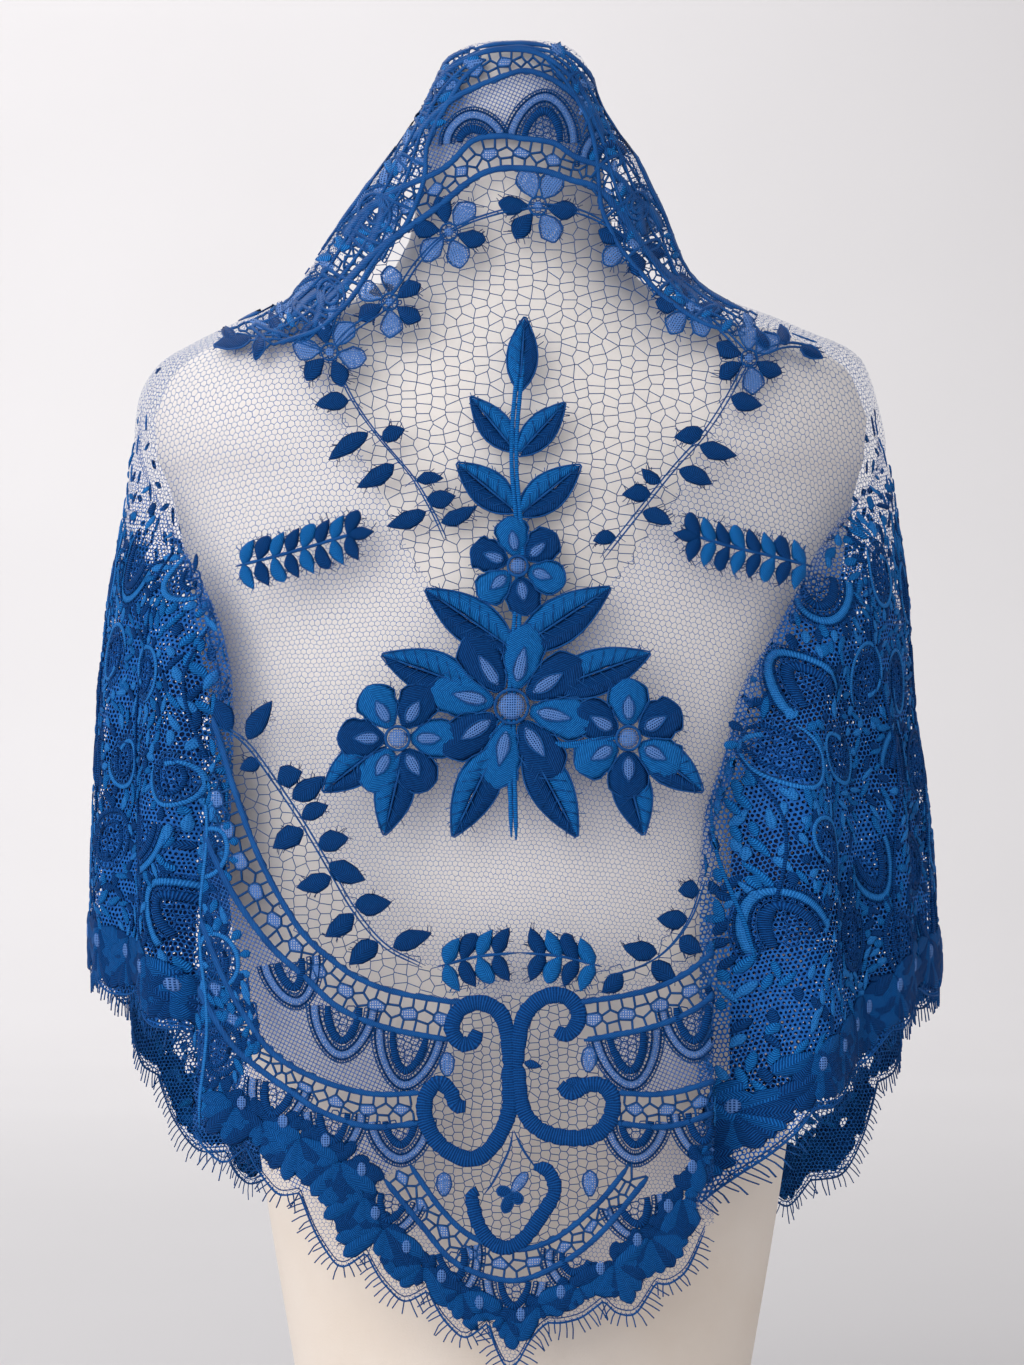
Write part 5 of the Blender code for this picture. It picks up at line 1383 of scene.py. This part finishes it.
# ---------------------------------------------------------------- worked bouquet of the back
# The largest motif, in the middle of the back: a branching spray of satin stitch with long leaves and
# round flowers. Each leaf is worked in two halves that meet at its rib, and edged with a thread.
SPRAY_STEMS = [
    [(514, 838), (512, 700), (520, 560), (514, 450), (522, 350)], [(512, 712), (468, 744), (404, 734)],
    [(512, 712), (558, 744), (624, 734)],
]
SPRAY_FLOWERS = [
    # middle, radius, petals, turn in degrees
    (512, 706, 84, 8, 12), (398, 738, 60, 6, 0), (628, 738, 60, 6, 30), (518, 566, 50, 6, 20)]
SPRAY_LEAVES = [
    # foot, tip, width
    (520, 392, 525, 316, 30), (516, 452, 470, 396, 30), (517, 456, 566, 402, 30), (517, 512, 456, 462, 36),
    (518, 516, 582, 464, 36), (515, 650, 424, 588, 44), (515, 650, 612, 586, 44), (480, 690, 380, 654, 44),
    (546, 690, 652, 652, 44), (386, 742, 322, 792, 38), (640, 742, 704, 792, 38), (404, 752, 384, 836, 38),
    (622, 752, 644, 836, 38), (500, 740, 452, 838, 42), (526, 740, 578, 838, 42),
]
bouquet = Work("back")


def large_leaf(work, x0, y0, x1, y1, width, finishes, seed=0, base=0.0):
    """A leaf in two halves of slanting stitches, with a rib, side veins and a thread round it."""
    thread, one, other = finishes
    ahead = np.array((x1 - x0, y1 - y0), float)
    length = float(np.hypot(*ahead))
    ahead /= length
    across = np.array((-ahead[1], ahead[0]))
    for half, finish in ((-1, one), (1, other)):
        shift = across * half * width * 0.235
        blade(work, x0 + ahead[0] * 3 + shift[0] * 0.3, y0 + ahead[1] * 3 + shift[1] * 0.3,
              x1 - ahead[0] * 2, y1 - ahead[1] * 2, width * 0.52, "leaf", finish, 3.6, base,
              bend=half * width * 0.235, ends=5, seed=seed + half, rows=12)
    rib = [(x0, y0), (x0 + (x1 - x0) * 0.5, y0 + (y1 - y0) * 0.5), (x1 - ahead[0] * 5, y1 - ahead[1] * 5)]
    cord(work, rib, 2.4, 3.4, thread, sides=6, step=8.0, base=base + 0.6)
    rim = []
    for half in (1, -1):
        rim += [(x0, y0) + ahead * length * t + across * half * width * 0.52
                * math.sin(math.pi * t ** 0.85) ** 0.9
                for t in (np.linspace(0.02, 0.98, 9) if half > 0 else np.linspace(0.98, 0.02, 9))]
    cord(work, rim, 2.0, 2.2, thread, closed=True, sides=5, step=7.0, base=base)
    for t in np.linspace(0.18, 0.82, max(3, int(length / 15))):
        for half in (-1, 1):
            foot = np.array((x0, y0)) + ahead * length * t
            tip = foot + ahead * length * 0.1 + across * half * width * 0.4 * math.sin(math.pi * t ** 0.85)
            threads(work, [(foot, tip)], 1.2, height=base + 3.4, finish=thread)


for line in SPRAY_STEMS:
    twin_stem(bouquet, line, 2.4, 0.5, 4.6, 3.4, 2, 7)
for k, (x0, y0, x1, y1, width) in enumerate(SPRAY_LEAVES):
    large_leaf(bouquet, x0, y0, x1, y1, width, (0, 1, 2) if k % 2 else (0, 2, 1), seed=3 * k,
               base=0.3 * (k % 3))
for x, y, radius, petals, turn in SPRAY_FLOWERS:
    for n in range(petals):
        way = math.radians(turn + 360 * n / petals)
        pointing(bouquet, x, y, way, radius * 0.22, radius, radius * 4.0 / petals, "petal",
                 1 if n % 2 else 2, 3.8, 1.4 + 0.4 * (n % 2), rim=0, ends=6, seed=n, rows=11)
        pointing(bouquet, x, y, way, radius * 0.3, radius * 0.72, radius * 1.3 / petals,
                 "leaf", 3, 1.6, 4.6 + 0.4 * (n % 2), rim=0, rows=7)
    cord(bouquet, oval(x, y, radius * 0.2, radius * 0.2, count=10), 3.4, 4.0, 0, closed=True, sides=6,
         step=4.0, base=3.0)
    padding(bouquet, oval(x, y, radius * 0.16, radius * 0.16, count=12), 3.4, 3, base=2.6, shrink=0.6)
piece = bouquet.sewn("worked_bouquet", [gimp, dark_satin, mid_satin, pale_stitch], "dark_satin")
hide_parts("centre_spray")

# ---------------------------------------------------------------- sprigs beside and below the bouquet
# A small leafy sprig in plump satin at each side of the bouquet, and a short row of leaves and buds
# under it, on the strip of large net above the medallion.
SPRIGS = {
    # stems, space between leaves, most leaves a side, reach across and along, width
    "left_sprig": ([[(236, 566), (276, 556), (318, 544), (358, 532)]], 15.5, None, 25, 15, 14.5),
    "right_sprig": ([[(812, 566), (772, 556), (730, 546), (690, 534)]], 15.5, None, 25, 15, 14.5),
    "lower_sprig": ([[(438, 966), (478, 956), (520, 952)], [(602, 966), (562, 956), (520, 952)]], 17, 4, 27,
                    20, 17),
}
for name, (lines, pitch, most, reach, slant, width) in SPRIGS.items():
    sprig = Work("back")
    for line in lines:
        cord(sprig, line, 3.6, 3.0, 0, sides=6, step=6.0)
        feet = spaced(smooth(line), pitch, 8.0)[:most]
        turn = 1 if line[-1][0] > line[0][0] else -1
        for k, (x, y) in enumerate(feet):
            for half in (-1, 1):
                kind = "leaf" if (k + half) % 3 else "petal"
                blade(sprig, x, y, x + turn * slant * 0.7, y + half * reach, width, kind,
                      1 + (k + half) % 2, 4.2, 0.2, bend=2.0 * half, ends=6, seed=k, rows=8)
        if most is None:
            x, y = feet[-1]
            blade(sprig, x, y, x + turn * 26, y - 4, 14, "leaf", 1, 4.2, 0.2, ends=5, rows=8)
    sprig.sewn(name, [gimp, dark_satin, mid_satin], "dark_satin")

# ---------------------------------------------------------------- petals along the scalloped hem
# Inside each lobe of the hem a fan of plump dark petals, joined by more of them under the loops, with
# small pale ovals between; a strip of bare net is left along the edge.
HEM_FANS = [
    # middle, direction in degrees with 90 downwards, reach, petals
    (236, 1104, 120, 40, 6), (262, 1120, 100, 44, 7), (300, 1136, 108, 46, 7), (340, 1160, 96, 48, 8),
    (364, 1194, 150, 46, 7), (384, 1226, 112, 50, 8), (424, 1264, 112, 48, 7), (462, 1290, 100, 44, 7),
    (506, 1318, 100, 44, 7), (540, 1304, 70, 42, 7), (578, 1284, 82, 44, 7), (614, 1262, 78, 48, 8),
    (650, 1236, 62, 48, 8), (682, 1196, 40, 46, 7), (700, 1156, 20, 36, 6),
]
HEM_CHAIN = [(222, 1090), (262, 1112), (300, 1126), (340, 1148), (364, 1172), (372, 1206), (392, 1232),
             (430, 1266), (466, 1292), (508, 1316), (544, 1300), (580, 1280), (616, 1256), (650, 1226),
             (678, 1190), (700, 1150)]
back_outline = np.array(lobes(BACK_SCALLOPS, 1.0) + [(707, 700), (192, 700)], float)
hem_petals = Work("back")
hem_satin = stitch_finish("hem_satin_stitch", ((0.001, 0.046, 0.195), (0.01, 0.155, 0.53)), 1.15, 0.55,
                          0.0006)


def fan(work, outline, x, y, way, reach, count, finishes, margin=9.0, spread=150.0, seed=0):
    """A fan of petals round its foot, none nearer the edge than the margin."""
    one, other = finishes
    for k in range(count):
        turn = math.radians(way - spread / 2 + spread * k / (count - 1))
        at = np.linspace(reach * 0.4, reach, 10)
        depths = depth_in(outline, np.array([(x + math.cos(turn) * t, y + math.sin(turn) * t) for t in at]))
        length = at[depths > margin][-1] if (depths > margin).any() else reach * 0.35
        finish = one if (k + seed) % 3 else other
        pointing(work, x, y, turn, 3, length, min(18.0, length * 0.5), "petal", finish, 3.0,
                 0.9 + 0.5 * (k % 2), ends=3, seed=seed + k, rows=8)


for k, (x, y, way, reach, count) in enumerate(HEM_FANS):
    fan(hem_petals, back_outline, x, y, way, reach, count, (1, 0), seed=k)
chance = np.random.default_rng(8)
for k, (x, y) in enumerate(spaced(smooth(HEM_CHAIN), 7.5)):
    way, y = chance.uniform(0, 2 * math.pi), y + chance.uniform(-6, 9)
    pointing(hem_petals, x, y, way, -10, 11, 14.0, "petal", 0, 2.4, 0.2 * (k % 3), ends=2, seed=k, rows=6)
for x, y in spaced(smooth(HEM_CHAIN), 46.0, 24.0):
    padding(hem_petals, oval(x, y, 4.6, 7.0, count=12), 2.0, 2, base=2.6)
hem_petals.sewn("hem_petals", [dark_satin, hem_satin, pale_stitch], "dark_satin")

# ---------------------------------------------------------------- lace of the side drapes
# The border of the shawl comes up over the arms and hangs there in gathers: palmettes of cords,
# ladders and petals round dark open windows, leaves packed between them, ropes down the folds.


def down_side(rim):
    """Places on a side's sheet, from angles and levels."""
    return [(angle * PER_DEGREE, (SIDE_TOP - level) / UNIT) for angle, level in rim]


drape_outline = {}
for side, rim in side_rim.items():
    inner = rim[0][0] * PER_DEGREE - 40
    drape_outline[side] = np.array(down_side(rim) + [(152 * PER_DEGREE, 0), (inner, 0), (inner, 900)], float)
PALMETTES = {
    # rows down each drape: how far down, and where the first palmette is; then
    # one every 84 units at the left, 92 at the right
    "left": ((506, 398), (592, 354), (678, 396), (764, 352), (838, 394)),
    "right": ((496, 284), (590, 330), (684, 280), (776, 326), (846, 282)),
}
window_finish = thread_finish("window_thread", ((0.003, 0.045, 0.2), (0.012, 0.13, 0.46)), 0.7)
ribbon_stitch = stitch_finish("ribbon_stitch", ((0.003, 0.078, 0.3), (0.03, 0.24, 0.66)), 1.1, 0.55, 0.0003,
                              cross=0.6)


def palmette(work, x, y, size, turn, seed, petals=13):
    """An open window with a gimp, a ladder, a ribbon and a ring of petals round it."""
    chance = np.random.default_rng(seed)
    wide, high = 13 * size, 19 * size
    sites, real = net_sites(np.array(oval(x, y, wide, high, turn)), 7.6, 6.8, 0.22, seed, edge=-1.0)
    threads(work, cells_round(sites, real)[0], 1.9, finish=0)
    cord(work, oval(x, y, wide + 1, high + 1, turn), 3.6, 1.9, 1, closed=True, sides=6, step=6.0, base=0.3)
    inner, outer = oval(x, y, wide + 4, high + 4, turn, 26), oval(x, y, wide + 9, high + 9, turn, 26)
    threads(work, list(zip(outer, outer[1:] + outer[:1])) + list(zip(inner, outer)), 1.4, finish=4)
    c, s = math.cos(turn), math.sin(turn)
    first, way = chance.uniform(0, 2 * math.pi), chance.choice((-1, 1))
    scroll = []
    for t in np.linspace(0, 1.7 * math.pi, 24):
        pull = 1 - 0.55 * float(ease((t / math.pi - 1.0) / 0.7))
        u, v = (wide + 12) * pull * math.cos(first + way * t), (high + 12) * pull * math.sin(first + way * t)
        scroll.append((x + u * c - v * s, y + u * s + v * c))
    cord(work, scroll, 4.8, 1.8, int(chance.choice((1, 3, 3))), sides=6, step=7.0, base=0.4, tips=(0.3, 1.2))
    for k in range(petals):
        t = 2 * math.pi * k / petals + chance.uniform(-0.1, 0.1)
        places = [((wide + r) * math.cos(t), (high + r) * math.sin(t))
                  for r in (14, 26 + chance.uniform(-3, 5))]
        (ax, ay), (bx, by) = [(x + u * c - v * s, y + u * s + v * c) for u, v in places]
        blade(work, ax, ay, bx, by, 9.5, "petal", int(chance.choice((1, 2, 2, 3))), 1.7, 0.2 * (k % 2),
              rows=5)


def packed(work, spots, seed, upright):
    """Small leaves and petals, side by side: upright as far as x says, then they follow the gathers."""
    chance = np.random.default_rng(seed)
    for k, (x, y) in enumerate(spots):
        sway = float(ease((x - upright) / 70)) * (1.2 * math.sin(x / 37) + 1.1 * math.cos(y / 31))
        way = sway + chance.uniform(-0.7, 0.7) + math.pi / 2
        long = chance.uniform(6.5, 11.5)
        pointing(work, x, y, way, -long, long, chance.uniform(6, 9.5), "leaf" if k % 3 else "petal",
                 int(chance.choice((1, 2, 2, 3))), 1.7, 0.5 * (k % 3), rows=5)


def scattered(outline, apart, seed, tries, clear=(), room=33.0, edge=0.0):
    """Places inside an outline, no two nearer than apart, and none near the places to keep clear."""
    chance, spots = np.random.default_rng(seed), np.zeros((0, 2))
    low, high = np.min(outline, axis=0), np.max(outline, axis=0)
    tried = chance.uniform(low, high, (tries, 2))
    tried = tried[depth_in(outline, tried) > edge]
    clear = np.array(clear, float).reshape(-1, 2)
    for spot in tried:
        if len(clear) and np.hypot(*((clear - spot) * (1.0, 0.82)).T).min() < room:
            continue
        if not len(spots) or np.hypot(*(spots - spot).T).min() > apart(*spot):
            spots = np.vstack([spots, spot])
    return spots


for side, rows_down in PALMETTES.items():
    sewn_work, chance = Work(side), np.random.default_rng(31 if side == "left" else 32)
    middles = []
    for r, (down, first) in enumerate(rows_down):
        for k in range(9):
            x = first + (84 if side == "left" else 92) * k + chance.uniform(-14, 14)
            y = down + chance.uniform(-16, 16)
            size = (0.72 if side == "left" else 1.0) + chance.uniform(0, 0.42)
            if depth_in(drape_outline[side], np.array([(x, y)]))[0] < 62:
                continue
            middles.append((x, y))
            if (r + k) % 3 == 1:
                way = chance.uniform(-0.9, 0.9) + (math.pi if k % 2 else 0)
                foot = (x - 16 * math.sin(way), y + 16 * math.cos(way))
                tip = (x + 22 * math.sin(way), y - 22 * math.cos(way))
                loop(sewn_work, foot, tip, 19, (0, 3, 1))
                for n in range(7):
                    turn = way + math.pi * (n / 6 - 1)
                    pointing(sewn_work, x, y, turn, 36, 51, 9.5, "petal", 1 + n % 2, 1.7, 0.2, rows=5)
            else:
                palmette(sewn_work, x, y, size, chance.uniform(-0.6, 0.6), 50 + 7 * r + k)
    top, upright = (500, 400.0) if side == "left" else (470, 290.0)
    fill = scattered(drape_outline[side],
                     lambda x, y: 9.4 + 14.0 * float(ease((top - y) / 130)) + 60.0
                     * float(ease((350 - y) / 80)), 40 + len(side), 9000, middles, edge=22.0)
    packed(sewn_work, fill, 60, upright)
    for x, width in ((350, 3.2), (372, 2.4), (452, 2.6), (566, 2.6), (690, 2.6), (770, 2.8), (860, 2.6)):
        x -= 110 if side == "right" and x < 400 else 0
        line = [(x + 11 * math.sin(y / 46 + x), y) for y in range(400 if x < 470 else 480, 880, 26)]
        cord(sewn_work, line, width, 2.2, 2 if width > 3 else 1, sides=6, step=11.0, base=0.6)
    sewn_work.sewn(side + "_drape_lace", [window_finish, dark_satin, mid_satin, ribbon_stitch, net_thread],
                   "dark_satin")

    petals = Work(side)
    notches = [(*down_side([notch[:2]])[0], notch[2]) for notch in SIDE_SCALLOPS[side]]
    for k, ((x0, y0, depth), (x1, y1, _)) in enumerate(zip(notches, notches[1:])):
        chord = math.hypot(x1 - x0, y1 - y0)
        down = np.array((-(y1 - y0), x1 - x0)) / chord
        way, reach = math.degrees(math.atan2(down[1], down[0])), 44 if k else 36
        for share in ((0.5,) if chord < 62 else (0.27, 0.73)):
            foot = np.array((x0 + (x1 - x0) * share, y0 + (y1 - y0) * share))
            foot = foot + down * (depth / UNIT * 0.9 - 40)
            fan(petals, drape_outline[side], *foot, way, reach, 8, (0, 1), margin=6.0, seed=k)
            fan(petals, drape_outline[side], *(foot - down * 20), way, reach - 8, 6, (1, 0), seed=k + 4)
            padding(petals, oval(foot[0], foot[1] - 6, 4.5, 7, 0.2, 12), 2.0, 2, base=3.0)
    petals.sewn(side + "_drape_hem_petals", [dark_satin, hem_satin, pale_stitch], "dark_satin")

# ---------------------------------------------------------------- lace where the back turns in
# At each side the back folds in before the drape begins. The border runs on down these hollows, with
# windows, packed leaves and ropes that catch less light than the rest.
TURNS_IN = {
    "right": ([(724, 800), (744, 740), (768, 690), (792, 640), (806, 620), (800, 900), (796, 1120),
               (716, 1146), (716, 830)],
              [(764, 742), (752, 826), (764, 912), (752, 998), (762, 1076)]),
    "left": ([(196, 560), (216, 640), (219, 700), (209, 800), (214, 880), (250, 1000), (262, 1040),
              (214, 1110), (190, 1110), (178, 700), (176, 560)],
             [(205, 850), (216, 960), (218, 1050)]),
}
turned_in = Work("back")
for side, (outline, middles) in TURNS_IN.items():
    outline = np.array(outline, float)
    for k, (x, y) in enumerate(middles):
        palmette(turned_in, x, y, 0.8, 0.3 * (-1) ** k, 90 + k, petals=11)
    sites, real = net_sites(outline, 9.6, 8.0, 0.22, 73)
    threads(turned_in, cells_round(sites, real)[0], 2.2, height=0.3, finish=0)
    fill = scattered(outline, lambda x, y: 8.6 + 12.0 * float(ease((760 - y) / 120)), 71, 4000, middles,
                     room=25.0)
    packed(turned_in, fill, 72, 2000.0)
    for x, y0 in ((718, 840), (732, 800), (790, 700)) if side == "right" else ((192, 700), (204, 720)):
        cord(turned_in, [(x + 4 * math.sin(y / 31), y) for y in range(y0, 1130, 24)], 3.2, 2.4, 3, sides=6,
             step=10.0, base=0.5)
turned_in.sewn("turned_in_lace", [window_finish, dark_satin, mid_satin, ribbon_stitch, net_thread],
               "dark_satin")

# ---------------------------------------------------------------- edge thread and eyelashes
# The cut ends of the lace are left long at the scalloped edge, like eyelashes, and a thin thread runs
# along it. The two straight edges of the shawl, at the front, have the thread alone.
rims = {"back": np.array(lobes(BACK_SCALLOPS, 1.0), float)}
for side, rim in side_rim.items():
    rims[side] = np.array(down_side(rim))
for side, rim in rims.items():
    edge = Work(side, past=0.03)
    chance = np.random.default_rng(len(side))
    line, second = spaced(rim, 3.0), spaced(rim - (0, 5.0), 6.0)
    cord(edge, line[::2], 2.2, 2.0, 0, sides=5, step=6.0, base=-0.6)
    threads(edge, list(zip(second, second[1:])), 1.2, height=0.4)
    for k in range(2, len(line) - 2, 2):
        (ax, ay), (bx, by) = line[k - 2], line[k + 2]
        down = np.array((-(by - ay), bx - ax)) / max(math.hypot(bx - ax, by - ay), 1e-6)
        across = np.array((down[1], -down[0]))
        long, lean = chance.uniform(9, 17), chance.uniform(-0.4, 0.4)
        middle = line[k] + (down + across * lean * 0.4) * long * 0.5
        tip = middle + (down + across * lean + (0, 0.25)) * long * 0.5
        threads(edge, [(line[k] - down * 2, middle), (middle, tip)], 1.35, height=0.2)
    if side != "back":
        levels = np.linspace(0.735, side_rim[side][-1][1] + 0.004, 40)
        front = down_side([(float(front_edge(level)), level) for level in levels])
        cord(edge, front, 3.0, 2.6, 0, sides=6, step=14.0, base=-0.6)
        for k, (x, y) in enumerate(spaced(np.array(front)[12:], 12.0)):
            blade(edge, x - 4, y, x - 21 + 6 * (k % 2), y + 9, 10, "petal", 1, 1.8, 0.1, rows=5)
    piece = edge.sewn(side + "_eyelashes", [gimp, dark_satin], "thread")
    if side == "back":
        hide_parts("back_fringe")
    else:
        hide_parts(side + "_side_fringe", side + "_front_fringe")

# ---------------------------------------------------------------- the cut of the cloth
# The whole shawl is one triangle, about 150 cm along its long edge and 75 cm deep; the loop below does
# nothing.
for side in side_net:
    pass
